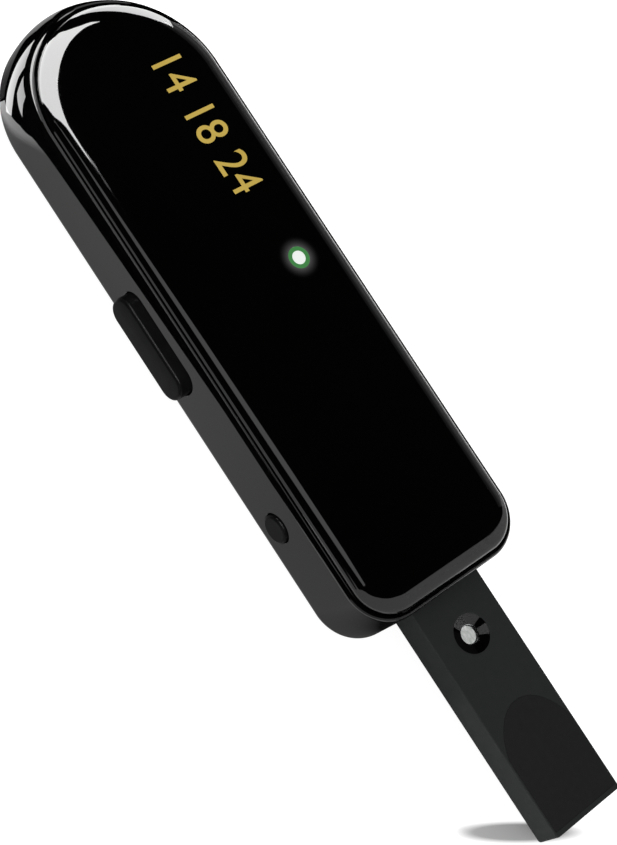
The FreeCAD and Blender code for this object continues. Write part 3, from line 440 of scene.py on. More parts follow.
# %% Arm sizes
arm_face, arm_base = arm_high.z, arm_low.z
arm_end, arm_tail = arm_low.y, arm_high.y
arm_corner, arm_edge = 0.5 * MM, 0.2 * MM
well_place = (0, -53.0 * MM)
well_radius, well_bore, well_depth = 2.9 * MM, 1.45 * MM, 0.6 * MM
seat_z = arm_face - 2.4 * MM
pad_low, pad_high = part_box("arm_pad")
pad_half = pad_high.x
pad_bed = pad_low.z
print("arm %.1f mm wide and %.1f mm thick" % (2 * arm_half / MM, (arm_face - arm_base) / MM))


# %% Outlines of the blade and the pad
def blade_outline():
    """Rectangle whose two far corners have the arm's radius and whose tail corners are nearly square."""
    tail = arm_edge + 0.1 * MM
    far, back = arm_half - arm_corner, arm_half - tail
    return joined_arcs([
        ((far, arm_end + arm_corner), arm_corner, -90, 0, 20),
        ((back, arm_tail - tail), tail, 0, 90, 6),
        ((-back, arm_tail - tail), tail, 90, 180, 6),
        ((-far, arm_end + arm_corner), arm_corner, 180, 270, 20)], near)


def pad_outline():
    """Straight sides and an arch. The arch is the upper part of an ellipse, centre plus (half_a cos t,
    half_b sin t), cut off where it is as wide as the pad."""
    centre_y, half_a, half_b = -73.5 * MM, 6.6 * MM, 10.0 * MM
    first = math.acos(pad_half / half_a)
    t = np.linspace(first, math.pi - first, 97)
    arch = np.stack([half_a * np.cos(t), centre_y + half_b * np.sin(t)], -1)
    arch_out = np.stack([np.cos(t) / half_a, np.sin(t) / half_b], -1)
    arch_out /= np.linalg.norm(arch_out, axis=1, keepdims=True)
    corner = 0.25 * MM
    foot = [((pad_half - corner, pad_low.y + corner), corner, -90, 0, 8),
            ((-pad_half + corner, pad_low.y + corner), corner, 180, 270, 8)]
    right, right_out = joined_arcs(foot[:1], near)
    left, left_out = joined_arcs(foot[1:], near)
    points = np.concatenate([right, arch, left])
    outward = np.concatenate([right_out, arch_out, left_out])
    return points, outward


# %% [markdown]
# ## The blade and its cuts
# The blade is a stack of rings again, and the well, the pad's bed and the channels for two metal strips
# underneath are cut from it. The well is a shallow cone over a straight bore. Its rim is drawn as a small
# curve, because a knife edge would catch no light. A cone and a cylinder could be cut one after the other,
# but one turned profile holds the bore, the cone and the rim together.

# %% Blade
ear_half_y, ear_half_z, ear_corner = 1.5 * MM, 1.0 * MM, 0.2 * MM
edge_low = bend((arm_edge, arm_base + arm_edge), arm_edge, 270, 180, 10)
edge_high = bend((arm_edge, arm_face - arm_edge), arm_edge, 180, 90, 10)
blade = shell(rise(blade_outline(), np.concatenate([edge_low, edge_high])))
ear_outline = round_rectangle(arm_half + ear_width, ear_half_y, ear_corner)
ear_profile = [(0, arm_middle - ear_half_z), (0, arm_middle + ear_half_z)]
ears = shell(rise(ear_outline, ear_profile, (0, arm_tail - ear_half_y)))
arm = make_piece("blade", blade, ears)
print("blade:", len(arm.data.polygons), "faces before the cuts")


# %% Cutters for the blade
def turned(profile, place, loop=False, count=96):
    """A shell turned about a vertical axis: each profile point is (radius, height). The outline has no
    size of its own, so an inset of minus the radius puts a ring at that radius."""
    axis = (np.zeros((count, 2)), circle(1.0, count)[1])
    return shell(rise(axis, np.asarray(profile) * (-1, 1), place), loop)


def funnel_profile():
    """(radius, height) of the well's cutter, from below the blade to above its face. The rim is a curve
    with one control point: (1 - t)^2 start + 2 t (1 - t) control + t^2 end."""
    curve_start, rim_width, stem_hole = 0.86, 0.22 * MM, 0.82 * MM
    cone = np.array([well_radius - well_bore, well_depth])
    foot = np.array([well_bore, arm_face - well_depth])
    start, control = foot + curve_start * cone, foot + cone
    end = np.array([well_radius + rim_width, arm_face])
    t = np.linspace(0, 1, 11)[:, None]
    rim = (1 - t) ** 2 * start + 2 * t * (1 - t) * control + t ** 2 * end
    low = [(stem_hole, arm_base - past), (stem_hole, seat_z), (well_bore, seat_z), foot]
    return np.concatenate([low, rim, [end + (0.3 * MM, 0.2 * MM)]])


def channel(strip):
    """Cutter for one metal strip's channel: the strip's own box with play round it, up from below."""
    play, depth, corner = 0.05 * MM, 0.15 * MM, 0.05 * MM
    low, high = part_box(strip)
    outline = round_rectangle((high.x - low.x) / 2 + play, (high.y - low.y) / 2 + play, corner, 2)
    middle = ((low.x + high.x) / 2, (low.y + high.y) / 2)
    return shell(rise(outline, [(0, arm_base - past), (0, arm_base + depth)], middle))


bed_profile = [(0, pad_bed), (0, arm_face - near), (-2 * near, arm_face + near), (-2 * near, arm_face + past)]
carve(
    arm,
    turned(funnel_profile(), well_place, count=128),
    shell(rise(pad_outline(), bed_profile)),
    channel("contact_strip"),
    channel("pad_strip"))
dress(arm, "arm", "arm_black", "probe_arm")

# %% [markdown]
# ## Pad, liner and contact
# The pad lies flush in its bed with a fine rounded edge, so a thin line shows where two blacks meet. In
# the well a thin metal liner tops the bore, and the contact is a polished disc on a stem below it. Spin
# would turn both, but a profile with its rings as an array gives the same shape with the seam closed.

# %% Pad
pad_edge = 0.08 * MM
pad_top = bend((pad_edge, arm_face - pad_edge), pad_edge, 180, 90, 6)
pad = make_piece("pad", shell(rise(pad_outline(), np.concatenate([[(0, pad_bed)], pad_top]))))
dress(pad, "arm", "pad_black", "arm_pad")

# %% Liner and contact
ring_low, ring_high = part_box("well_ring")
liner_in, liner_out, liner_edge = 1.33 * MM, 1.45 * MM, 0.05 * MM
liner = make_piece("liner", turned(np.concatenate([
    [(liner_out, ring_low.z)], [(liner_out, ring_high.z)],
    bend((liner_in + liner_edge, ring_high.z - liner_edge), liner_edge, 90, 180, 5),
    [(liner_in, ring_low.z)]]), well_place, loop=True))
dress(liner, "arm", "liner_steel", "well_ring")

disc_low, disc_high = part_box("well_contact")
disc_radius, disc_edge, stem_radius, disc_centre = disc_high.x, 0.1 * MM, 0.8 * MM, 0.02 * MM
disc = make_piece("contact_disc", turned(np.concatenate([
    [(stem_radius, disc_low.z), (stem_radius, seat_z), (disc_radius, seat_z)],
    bend((disc_radius - disc_edge, disc_high.z - disc_edge), disc_edge, 0, 90, 10),
    [(disc_centre, disc_high.z)]]), well_place))
dress(disc, "arm", "contact_silver", "well_contact", crease=60)

# %% [markdown]
# ## The light
# The light is two mouldings: a clear core that carries the lamp's light up through the panel, and a green
# ring round it. A UV sphere cut in half would do for the core's top, but the real one is much flatter. A
# quarter of an ellipse in the turned profile gives the low dome, and the core and its flange stay one piece.

# %% Light core
pipe_low, pipe_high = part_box("light_pipe")
dome_drop, dome_steps, dome_centre = 0.07 * MM, 14, 0.001 * MM
dome_angle = np.linspace(0, math.pi / 2, dome_steps)
dome = np.stack([lens_radius * np.cos(dome_angle) + dome_centre,
                 pipe_high.z - dome_drop + dome_drop * np.sin(dome_angle)], -1)
flange_top = pipe_low.z + 0.45 * MM
core = make_piece("light_core", turned(np.concatenate([
    [(rim_radius, pipe_low.z), (rim_radius, flange_top), (lens_radius, flange_top)], dome]), light_place))
dress(core, "case", "light_clear", "light_pipe", crease=40)

# %% Light ring
ring_edge, ring_bore = 0.1 * MM, lens_radius + 0.02 * MM
foot_radius = light_high.x - light_place[0]
green = make_piece("light_rim", turned(np.concatenate([
    [(foot_radius, light_low.z), (foot_radius, ceiling_z), (rim_radius, ceiling_z)],
    bend((rim_radius - ring_edge, light_high.z - ring_edge), ring_edge, 0, 90, 8),
    bend((ring_bore + ring_edge, light_high.z - ring_edge), ring_edge, 90, 180, 8),
    [(ring_bore, light_low.z)]]), light_place, loop=True))
dress(green, "case", "light_green", "light_ring")

# %% [markdown]
# ## The door on the back
# The back has a door for the coin cell, held by one countersunk screw. The door is a plate with a broken
# outer edge that lies flush in its hole. A Boolean of the tub's own back would leave no gap round it, so
# the plate is made on its own and a little smaller than the hole.

# %% Door
door_edge, sink_depth = 0.12 * MM, 0.6 * MM
sink_top, sink_foot = screw_head + head_play, screw_shank + 0.1 * MM
door_outline = round_rectangle(door_half[0], door_half[1], door_corner, 12)
plate_profile = np.concatenate([bend((door_edge, door_edge), door_edge, 270, 180, 6), [(0, door_plate)]])
door = make_piece("cell_door", shell(rise(door_outline, plate_profile, door_middle)))
carve(door, turned(
    [(sink_top, -past), (sink_top, 0), (sink_foot, sink_depth), (sink_foot, past)], door_screw_place))
dress(door, "case", "case_black", "battery_door")

# %% [markdown]
# ## Screws
# Four pan-head screws sit deep in the back and hold the case together, and a flat one holds the door. A
# screw is a turned shape with a cross cut into its head. A Screw modifier could wind a true helix, but on a
# screw this small plain grooves look the same, and they close on themselves.

# %% Screw tools
tip_radius, tip_length, head_gap = 0.5 * MM, 0.3 * MM, 0.05 * MM
thread_pitch, thread_depth = 0.42 * MM, 0.14 * MM
cross_reach, cross_half, cross_depth, cross_taper = 0.85 * MM, 0.14 * MM, 0.4 * MM, 0.05 * MM


def threads(top, low):
    """Profile of a threaded shank: its radius and its groove's radius in turn, from low to top."""
    steps = int((top - low) / thread_pitch)
    z = np.linspace(low, top, 2 * steps + 1)
    groove = np.where(np.arange(2 * steps + 1) % 2, screw_shank - thread_depth, screw_shank)
    return np.stack([groove, z], -1)


def cross(place, face):
    """Two crossed bars that make a screw's recess. They narrow a little with depth."""
    bars = []
    for a, b in ((cross_reach, cross_half), (cross_half, cross_reach)):
        outline = round_rectangle(a, b, near, 3)
        bar = [(0, face - past), (0, face), (cross_taper, face + cross_depth)]
        bars.append(shell(rise(outline, bar, place)))
    return bars


def screw(name, place, face, head, node):
    """A screw seen from below: the head's profile, then its threaded shank up to the node's top."""
    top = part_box(node)[1].z
    profile = np.concatenate([head, threads(top - tip_length, head[-1][1] + head_gap), [(tip_radius, top)]])
    piece = make_piece(name, turned(profile, place, count=64))
    carve(piece, *cross(place, face))
    return piece


# %% Screws
head_sunk, head_height, head_edge = 0.45 * MM, 1.15 * MM, 0.18 * MM
pan_head = np.concatenate([
    bend((screw_head - head_edge, head_sunk + head_edge), head_edge, 270, 360, 6),
    [(screw_head, head_sunk + head_height), (screw_shank, head_sunk + head_height)]])
screws = [screw("case_screw_%d" % number, place, head_sunk, pan_head, "case_screws")
          for number, place in enumerate(case_screw_places)]
for number, one in enumerate(screws):
    dress(one, "case", "screw_steel", *(["case_screws"] if number == 0 else []))
rim_break, rim_height = 0.05 * MM, 0.03 * MM
flat_head = np.array([(screw_head - rim_break, 0), (screw_head, rim_height), (screw_shank, sink_depth)])
door_screw = screw("cell_door_screw", door_screw_place, 0, flat_head, "door_screw")
dress(door_screw, "case", "screw_steel", "door_screw")

# %% [markdown]
# ## The numerals
# Plain numbers are printed in gold on the panel, read from the round end towards the arm. They could be a
# mask in the panel's material, but a pattern needs an image or much node work, and a text object already
# has clean outlines. A print has no real thickness, so the text becomes a flat mesh laid a hair above the
# panel. Its place is put into the points once it is a mesh. Filling an outline can leave slivers that face
# down, so doubles are merged, such faces are turned, and the whole is shaded flat.

# %% Numerals as a mesh
text_data = bpy.data.curves.new("numerals", "FONT")
text_data.body = "14 18 24"
text_data.size = 7.2 * MM
text_data.offset = 0.02 * MM
text_data.space_character = 1.05
text = bpy.data.objects.new("numerals_text", text_data)
bpy.context.scene.collection.objects.link(text)
bpy.context.view_layer.update()
number_mesh = bpy.data.meshes.new_from_object(text.evaluated_get(bpy.context.evaluated_depsgraph_get()))
bpy.data.objects.remove(text)
numerals = bpy.data.objects.new("numerals", number_mesh)
bpy.context.scene.collection.objects.link(numerals)
print("numerals:", len(number_mesh.vertices), "points as typed")

# %% Numerals in their place
letter_height, line_length = 5.1 * MM, 21.2 * MM
baseline_x, first_y = 3.7 * MM, 34.1 * MM
print_height, merge_distance = 0.012 * MM, 0.002 * MM
points = np.zeros(3 * len(number_mesh.vertices))
number_mesh.vertices.foreach_get("co", points)
points = points.reshape(-1, 3)
points -= points.min(0)
height_scale = letter_height / points[:, 1].max()
length_scale = line_length / points[:, 0].max()
placed = np.stack([baseline_x + points[:, 1] * height_scale, first_y - points[:, 0] * length_scale,
                   np.full(len(points), face_z + print_height)], -1)
number_mesh.vertices.foreach_set("co", placed.ravel())
shape = bmesh.new()
shape.from_mesh(number_mesh)
bmesh.ops.remove_doubles(shape, verts=shape.verts, dist=merge_distance)
bmesh.ops.reverse_faces(shape, faces=[face for face in shape.faces if face.normal.z < 0])
shape.to_mesh(number_mesh)
shape.free()
number_mesh.shade_flat()
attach(numerals, "case")
print("numerals:", len(number_mesh.polygons), "faces, letter height %.1f mm" % (letter_height / MM))

# %% [markdown]
# ## Finishes
# Black plastic is not one black. A polished panel hardly scatters light and shows the room instead, a
# moulded button scatters a little, and the arm has a fine matt grain. Image textures could carry that, but
# they need a UV map on every piece, and a noise in object space needs none. One function sets up a
# Principled shader and another makes a noise.

# %% A finish and a noise
def finish(name, colour, roughness, **sockets):
    """A Principled material. Uniform values are set on the shader's own sockets."""
    material = bpy.data.materials.new(name)
    material.use_nodes = True
    shader = material.node_tree.nodes["Principled BSDF"]
    shader.inputs["Base Color"].default_value = (*colour, 1)
    shader.inputs["Roughness"].default_value = roughness
    for socket, value in sockets.items():
        shader.inputs[socket.replace("_", " ")].default_value = value
    material.diffuse_color = (*colour, 1)
    return material


def noise(material, scale, detail=3.0, stretch=(1, 1, 1)):
    """A noise on object coordinates, in cycles per metre."""
    tree = material.node_tree
    place = tree.nodes.new("ShaderNodeTexCoord")
    mapping = tree.nodes.new("ShaderNodeMapping")
    mapping.inputs["Scale"].default_value = stretch
    texture = tree.nodes.new("ShaderNodeTexNoise")
    texture.inputs["Scale"].default_value = scale
    texture.inputs["Detail"].default_value = detail
    tree.links.new(place.outputs["Object"], mapping.inputs["Vector"])
    tree.links.new(mapping.outputs["Vector"], texture.inputs["Vector"])
    return texture.outputs["Fac"]


# %% [markdown]
# ## Patterns on a finish
# No real surface is perfectly even, so a noise goes to the roughness, the colour or the bump. A noise in
# Blender stays near its middle and hardly ever comes near 0 or 1, so the range that it really covers is
# stretched to the values that are wanted.

# %% Patterns
noise_low, noise_high = 0.3, 0.7


def spread(material, source, low, high, socket):
    """Send a noise to a socket, its usual range from low to high."""
    tree = material.node_tree
    ramp = tree.nodes.new("ShaderNodeMapRange")
    ramp.inputs["From Min"].default_value = noise_low
    ramp.inputs["From Max"].default_value = noise_high
    ramp.inputs["To Min"].default_value = low
    ramp.inputs["To Max"].default_value = high
    tree.links.new(source, ramp.inputs["Value"])
    tree.links.new(ramp.outputs["Result"], tree.nodes["Principled BSDF"].inputs[socket])


def tint(material, source, dark, light):
    """Mix the base colour between two tones by a noise."""
    tree = material.node_tree
    ramp = tree.nodes.new("ShaderNodeValToRGB")
    ramp.color_ramp.elements[0].position = noise_low
    ramp.color_ramp.elements[1].position = noise_high
    ramp.color_ramp.elements[0].color = (*dark, 1)
    ramp.color_ramp.elements[1].color = (*light, 1)
    tree.links.new(source, ramp.inputs["Fac"])
    tree.links.new(ramp.outputs["Color"], tree.nodes["Principled BSDF"].inputs["Base Color"])


def grain(material, source, distance):
    """Bump from a noise, its height in metres."""
    tree = material.node_tree
    bump = tree.nodes.new("ShaderNodeBump")
    bump.inputs["Strength"].default_value = 1.0
    bump.inputs["Distance"].default_value = distance
    tree.links.new(source, bump.inputs["Height"])
    tree.links.new(bump.outputs["Normal"], tree.nodes["Principled BSDF"].inputs["Normal"])


def coat(piece, material):
    """Put one material on a piece or a carried-over node."""
    piece.data.materials.clear()
    piece.data.materials.append(material)


print("a noise is stretched from %.1f to %.1f" % (noise_low, noise_high))

# %% [markdown]
# ## The black plastics
# The case is polished, the buttons are a fine satin, the arm is a dull grey-black and the pad is rubber. A
# single colour and roughness would make each look like a flat cut-out. So the polish drifts slowly, as on a
# moulding, and the matt ones have a fine bump and two tones. The noises are in object space, because the
# pieces have no UV maps, and their scales are in cycles per metre.

# %% Plastics
def grey(level):
    """A colour with three equal parts."""
    return (level, level, level)


def polished(name, scale, dullest):
    """Polished black: hardly a colour of its own, and a roughness that drifts over the surface."""
    material = finish(name, grey(0.0012), 0.03, Specular_IOR_Level=0.5)
    spread(material, noise(material, scale, 4), 0.02, dullest, "Roughness")
    tint(material, noise(material, 30), grey(0.0010), grey(0.0016))
    return material


gloss = polished("gloss_black", 90, 0.045)
panel_gloss = polished("panel_gloss", 70, 0.04)

key_black = finish("key_black", grey(0.007), 0.34, Specular_IOR_Level=0.06)
tint(key_black, noise(key_black, 700), (0.0064, 0.0064, 0.0067), (0.0074, 0.0074, 0.0078))
spread(key_black, noise(key_black, 900), 0.3, 0.38, "Roughness")
grain(key_black, noise(key_black, 9000, 2), 0.004 * MM)

arm_matt = finish("arm_matt", (0.032, 0.0335, 0.0335), 0.5, Specular_IOR_Level=0.05)
tint(arm_matt, noise(arm_matt, 900), (0.0310, 0.0326, 0.0325), (0.0330, 0.0346, 0.0344))
spread(arm_matt, noise(arm_matt, 1200), 0.45, 0.6, "Roughness")
grain(arm_matt, noise(arm_matt, 8000, 2), 0.006 * MM)

pad_rubber = finish("pad_rubber", (0.024, 0.024, 0.0245), 0.7, Specular_IOR_Level=0.1)
tint(pad_rubber, noise(pad_rubber, 1100), (0.0230, 0.0230, 0.0235), (0.0250, 0.0250, 0.0256))
grain(pad_rubber, noise(pad_rubber, 6000, 3), 0.01 * MM)
print("plastics:", [black.name for black in (gloss, panel_gloss, key_black, arm_matt, pad_rubber)])

# %% [markdown]
# ## The metals, the print and the light
# A metal's colour is its mirror's colour, so its life comes from roughness that varies, stretched where the
# metal was turned or drawn. The print is a metallic ink with a little drift. The core and the ring of the
# light glow by themselves. A real lamp under a clear core would do that too, but it takes many samples, and
# an emission gives the same look at once.

# %% Metals, print and light
silver = finish("contact_silver", (0.76, 0.79, 0.77), 0.22, Metallic=1.0)
tint(silver, noise(silver, 2600, stretch=(1, 0.4, 1)), (0.58, 0.62, 0.59), (0.92, 0.93, 0.92))
spread(silver, noise(silver, 1500), 0.16, 0.3, "Roughness")
steel = finish("liner_steel", (0.62, 0.62, 0.63), 0.18, Metallic=1.0)
spread(steel, noise(steel, 2500), 0.12, 0.24, "Roughness")
screw_metal = finish("screw_metal", (0.30, 0.30, 0.31), 0.32, Metallic=1.0)
spread(screw_metal, noise(screw_metal, 3000, stretch=(1, 1, 6)), 0.25, 0.42, "Roughness")
gold_print = finish("gold_print", (0.88, 0.62, 0.12), 0.4, Metallic=0.5)
tint(gold_print, noise(gold_print, 300), (0.84, 0.59, 0.110), (0.92, 0.66, 0.135))
lens_glow = finish("lens_glow", grey(0.5), 0.15, Emission_Color=(0.95, 1.0, 0.97, 1),
                   Emission_Strength=0.62)
tint(lens_glow, noise(lens_glow, 900), (0.48, 0.50, 0.48), (0.52, 0.52, 0.52))
green_rim = finish("green_rim", (0.030, 0.13, 0.038), 0.25, Emission_Color=(0.06, 0.25, 0.07, 1),
                   Emission_Strength=0.62)
print("metals:", [metal.name for metal in (silver, steel, screw_metal, gold_print)])

# %% [markdown]
# ## The painted halo round the light
# The light's spill over the panel round it is a painted glow, and it fades within a few millimetres. A glow
# could be added to the finished image, but then it would not be on the object. Here the panel's own emission
# rises near the light, though the panel is no lamp: a spherical gradient, one at the light and zero at the
# halo's reach, is raised to a power and scaled.

# %% Halo
def maths(tree, kind, *terms):
    """One Math node of a kind, with numbers or sockets as its inputs."""
    node = tree.nodes.new("ShaderNodeMath")
    node.operation = kind
    for socket, term in zip(node.inputs, terms):
        if isinstance(term, bpy.types.NodeSocket):
            tree.links.new(term, socket)
        else:
            socket.default_value = term
    return node.outputs[0]


def closeness(tree, centre, reach, turn=0.0):
    """One minus the distance from a place over a reach, and never under 0, on Object coordinates. Each
    axis has its own reach, and the axes may be turned about Z, in radians."""
    place = tree.nodes.new("ShaderNodeTexCoord")
    mapping = tree.nodes.new("ShaderNodeMapping")
    mapping.vector_type = "TEXTURE"
    mapping.inputs["Location"].default_value = centre
    mapping.inputs["Scale"].default_value = reach
    mapping.inputs["Rotation"].default_value = (0, 0, turn)
    ball = tree.nodes.new("ShaderNodeTexGradient")
    ball.gradient_type = "SPHERICAL"
    tree.links.new(place.outputs["Object"], mapping.inputs["Vector"])
    tree.links.new(mapping.outputs["Vector"], ball.inputs["Vector"])
    return ball.outputs["Fac"]


halo_reach, halo_power, painted_halo_strength = 3.3 * MM, 2.8, 0.44
halo_tree = panel_gloss.node_tree
halo_shader = halo_tree.nodes["Principled BSDF"]
halo_shader.inputs["Emission Color"].default_value = (1.0, 0.97, 1.0, 1)
halo = closeness(halo_tree, (*light_place, face_z), (halo_reach, halo_reach, halo_reach))
# Painted glow: the panel's emission, strongest at the light, stands in for the light's spill.
painted_halo_glow = maths(halo_tree, "MULTIPLY", maths(halo_tree, "POWER", halo, halo_power), painted_halo_strength)
halo_tree.links.new(painted_halo_glow, halo_shader.inputs["Emission Strength"])
print("the halo reaches %.1f mm" % (halo_reach / MM))

# %% [markdown]
# ## Dress the drawn pieces
# Each piece takes one finish, but for the arm. Its well is polished while the blade is matt, though both
# are one moulding. A second piece for the well would leave a seam, so the faces inside the well take the
# second material of the same mesh. They are found by their distance from the well's axis and their depth.

# %% Dress the drawn pieces
for piece in (tub, door):
    coat(piece, gloss)
coat(panel, panel_gloss)
for piece in (long_key, round_key):
    coat(piece, key_black)
    piece.visible_glossy = False
coat(arm, arm_matt)
arm.data.materials.append(gloss)
centres = np.zeros(3 * len(arm.data.polygons))
arm.data.polygons.foreach_get("center", centres)
centres = centres.reshape(-1, 3) - (*well_place, arm_face)
gloss_reach, gloss_floor = well_radius + 0.2 * MM, -2.5 * MM
in_well = np.hypot(centres[:, 0], centres[:, 1]) < gloss_reach
in_well &= (centres[:, 2] < -near) & (centres[:, 2] > gloss_floor)
arm.data.polygons.foreach_set("material_index", in_well.astype(np.int32))
print("glossy faces of the well:", int(in_well.sum()))
coat(pad, pad_rubber)
coat(liner, steel)
coat(disc, silver)
coat(core, lens_glow)
coat(green, green_rim)
for piece in screws + [door_screw]:
    coat(piece, screw_metal)
coat(numerals, gold_print)

# %% [markdown]
# ## Finishes of the inner parts
# The board, its parts, the cell and its springs are hidden while the case is closed, but the part can be
# taken apart. Their solids have the right shape, so their own meshes stay and take plain finishes of their
# kind: solder-mask green, moulded black, stamped steel, brass. One table says which node takes which.

# %% Finishes of the inner parts
board_green = finish("board_green", (0.010, 0.085, 0.032), 0.35)
tint(board_green, noise(board_green, 900), (0.008, 0.070, 0.026), (0.014, 0.100, 0.040))
chip_black = finish("chip_black", grey(0.014), 0.55)
grain(chip_black, noise(chip_black, 9000), 0.003 * MM)
part_tan = finish("part_tan", (0.30, 0.19, 0.10), 0.4)
tint(part_tan, noise(part_tan, 800), (0.24, 0.15, 0.08), (0.36, 0.24, 0.13))
led_white = finish("led_white", (0.85, 0.84, 0.72), 0.35)
tint(led_white, noise(led_white, 3000), (0.80, 0.79, 0.62), (0.90, 0.90, 0.84))
buzzer_black = finish("buzzer_black", grey(0.015), 0.4)
spread(buzzer_black, noise(buzzer_black, 1500), 0.3, 0.5, "Roughness")
switch_grey = finish("switch_grey", (0.20, 0.20, 0.21), 0.35)
spread(switch_grey, noise(switch_grey, 1500), 0.28, 0.42, "Roughness")
seal_rubber = finish("seal_rubber", grey(0.012), 0.8)
grain(seal_rubber, noise(seal_rubber, 5000), 0.01 * MM)
guide_plastic = finish("guide_plastic", grey(0.02), 0.5)
grain(guide_plastic, noise(guide_plastic, 7000), 0.004 * MM)
cradle_plastic = finish("cradle_plastic", grey(0.05), 0.5)
grain(cradle_plastic, noise(cradle_plastic, 7000), 0.004 * MM)
cell_steel = finish("cell_steel", (0.60, 0.60, 0.60), 0.3, Metallic=1.0)
spread(cell_steel, noise(cell_steel, 600, stretch=(1, 8, 1)), 0.24, 0.4, "Roughness")
spring_steel = finish("spring_steel", (0.55, 0.54, 0.52), 0.28, Metallic=1.0)
spread(spring_steel, noise(spring_steel, 1200), 0.22, 0.36, "Roughness")
strip_brass = finish("strip_brass", (0.80, 0.58, 0.24), 0.25, Metallic=1.0)
spread(strip_brass, noise(strip_brass, 1800, stretch=(1, 0.1, 1)), 0.18, 0.36, "Roughness")

inner_finishes = {
    board_green: ["main_board"], chip_black: ["processor_chip", "sensing_chip"], part_tan: ["board_parts"],
    led_white: ["led_chip"], buzzer_black: ["buzzer"], switch_grey: ["test_switch", "power_switch"],
    seal_rubber: ["cover_seal"], guide_plastic: ["arm_guide"], cradle_plastic: ["cell_cradle"],
    cell_steel: ["coin_cell"], spring_steel: ["cell_top_spring", "cell_side_spring", "wiper_springs"],
    strip_brass: ["contact_strip", "pad_strip"], screw_metal: ["board_screws"]}
for material, names in inner_finishes.items():
    for name in names:
        coat(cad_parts[name], material)
print("inner nodes dressed:", sum(len(names) for names in inner_finishes.values()))

# %% [markdown]
# ## The floor
# The floor is white paper. A diffuse white under these lamps would come out grey and uneven, so to the
# camera most of its white is its own and the rest is lit, which still lets it take a shadow. Round the arm's
# tip, inside a narrow turned ellipse, its own white goes away, and there it is lit like real paper and holds
# a deep shadow. In reflections it is lit paper with a little white of its own, which darkens it close to the
# object. It lies a hair low and is clear from below, so that the object's back can be seen.

# %% Floor finish
lit_paper, own_paper, mirrored_paper = 0.80, 0.93, 0.25
paper_dimming = 0.56
tip_centre, tip_turn = (-6.4 * MM, -78.8 * MM, 0), math.radians(-33)
tip_reach, tip_steepness = (10.4 * MM, 1.5 * MM, 1), 3.0

floor_white = bpy.data.materials.new("floor_white")
floor_white.use_nodes = True
tree = floor_white.node_tree
tree.nodes.remove(tree.nodes["Principled BSDF"])
path = tree.nodes.new("ShaderNodeLightPath")
paper = tree.nodes.new("ShaderNodeBsdfDiffuse")
white = tree.nodes.new("ShaderNodeEmission")
both = tree.nodes.new("ShaderNodeAddShader")
tip_near = closeness(tree, tip_centre, tip_reach, tip_turn)
tip_share = maths(tree, "MINIMUM", maths(tree, "MULTIPLY", tip_near, tip_steepness), 1.0)
even = maths(tree, "MULTIPLY", path.outputs["Is Camera Ray"], maths(tree, "SUBTRACT", 1.0, tip_share))
mirrored = maths(tree, "MAXIMUM", path.outputs["Is Glossy Ray"], path.outputs["Is Transmission Ray"])
paper_white = maths(tree, "SUBTRACT", lit_paper, maths(tree, "MULTIPLY", even, paper_dimming))
own_even = maths(tree, "MULTIPLY", even, own_paper)
own_white = maths(tree, "ADD", maths(tree, "MULTIPLY", mirrored, mirrored_paper), own_even)
tree.links.new(paper_white, paper.inputs["Color"])
tree.links.new(own_white, white.inputs["Strength"])
tree.links.new(paper.outputs[0], both.inputs[0])
tree.links.new(white.outputs[0], both.inputs[1])
print("floor finish:", len(tree.nodes), "nodes")

# %% Floor
from_below = tree.nodes.new("ShaderNodeNewGeometry").outputs["Backfacing"]
see_through = tree.nodes.new("ShaderNodeBsdfTransparent")
one_sided = tree.nodes.new("ShaderNodeMixShader")
tree.links.new(from_below, one_sided.inputs["Fac"])
tree.links.new(both.outputs[0], one_sided.inputs[1])
tree.links.new(see_through.outputs[0], one_sided.inputs[2])
tree.links.new(one_sided.outputs[0], tree.nodes["Material Output"].inputs["Surface"])

far, floor_z = 1.5, -0.02 * MM
floor_corners = [(-far, -far, floor_z), (far, -far, floor_z), (far, far, floor_z), (-far, far, floor_z)]
floor = make_piece("floor", (np.array(floor_corners), [[0, 1, 2, 3]]))
coat(floor, floor_white)
print("the floor is %.0f m wide" % (2 * far))

# %% [markdown]
# ## The background
# The room is white to the camera and through glass, a little under half as bright to matt pieces, and black
# to mirrors. A plain white world would be simpler, but a black polished case would then look grey all over.
# With nothing in the mirror, its highlights are only those that the cards below draw.

# %% Background
room_light = 0.45
world = bpy.data.worlds.new("studio")
bpy.context.scene.world = world
world.use_nodes = True
tree = world.node_tree
path = tree.nodes.new("ShaderNodeLightPath")
clear = maths(tree, "MAXIMUM", path.outputs["Is Camera Ray"], path.outputs["Is Transmission Ray"])
unmirrored = maths(tree, "SUBTRACT", 1.0, path.outputs["Is Glossy Ray"])
room = maths(tree, "MULTIPLY", maths(tree, "MAXIMUM", clear, room_light), unmirrored)
tree.links.new(room, tree.nodes["Background"].inputs["Strength"])
tree.nodes["Background"].inputs["Color"].default_value = (1, 1, 1, 1)
print("matt surfaces see a room of %.2f" % room_light)

# %% [markdown]
# ## Lamps
# One large lamp lights the matt pieces from the button side. A small one on the other side lights only the
# floor, where it draws the shadow at the arm's tip, and a low one fills only the arm and its pad. One lamp
# could not do all three, because each needs its own direction and softness. Light linking gives a lamp the
# pieces that it may light, and no lamp is mirrored.

# %% Lamps
def toward(azimuth, elevation):
    """Unit direction of an azimuth and elevation in degrees. Azimuth 0 is +X and 90 is +Y."""
    a, e = math.radians(azimuth), math.radians(elevation)
    return Vector((math.cos(a) * math.cos(e), math.sin(a) * math.cos(e), math.sin(e)))


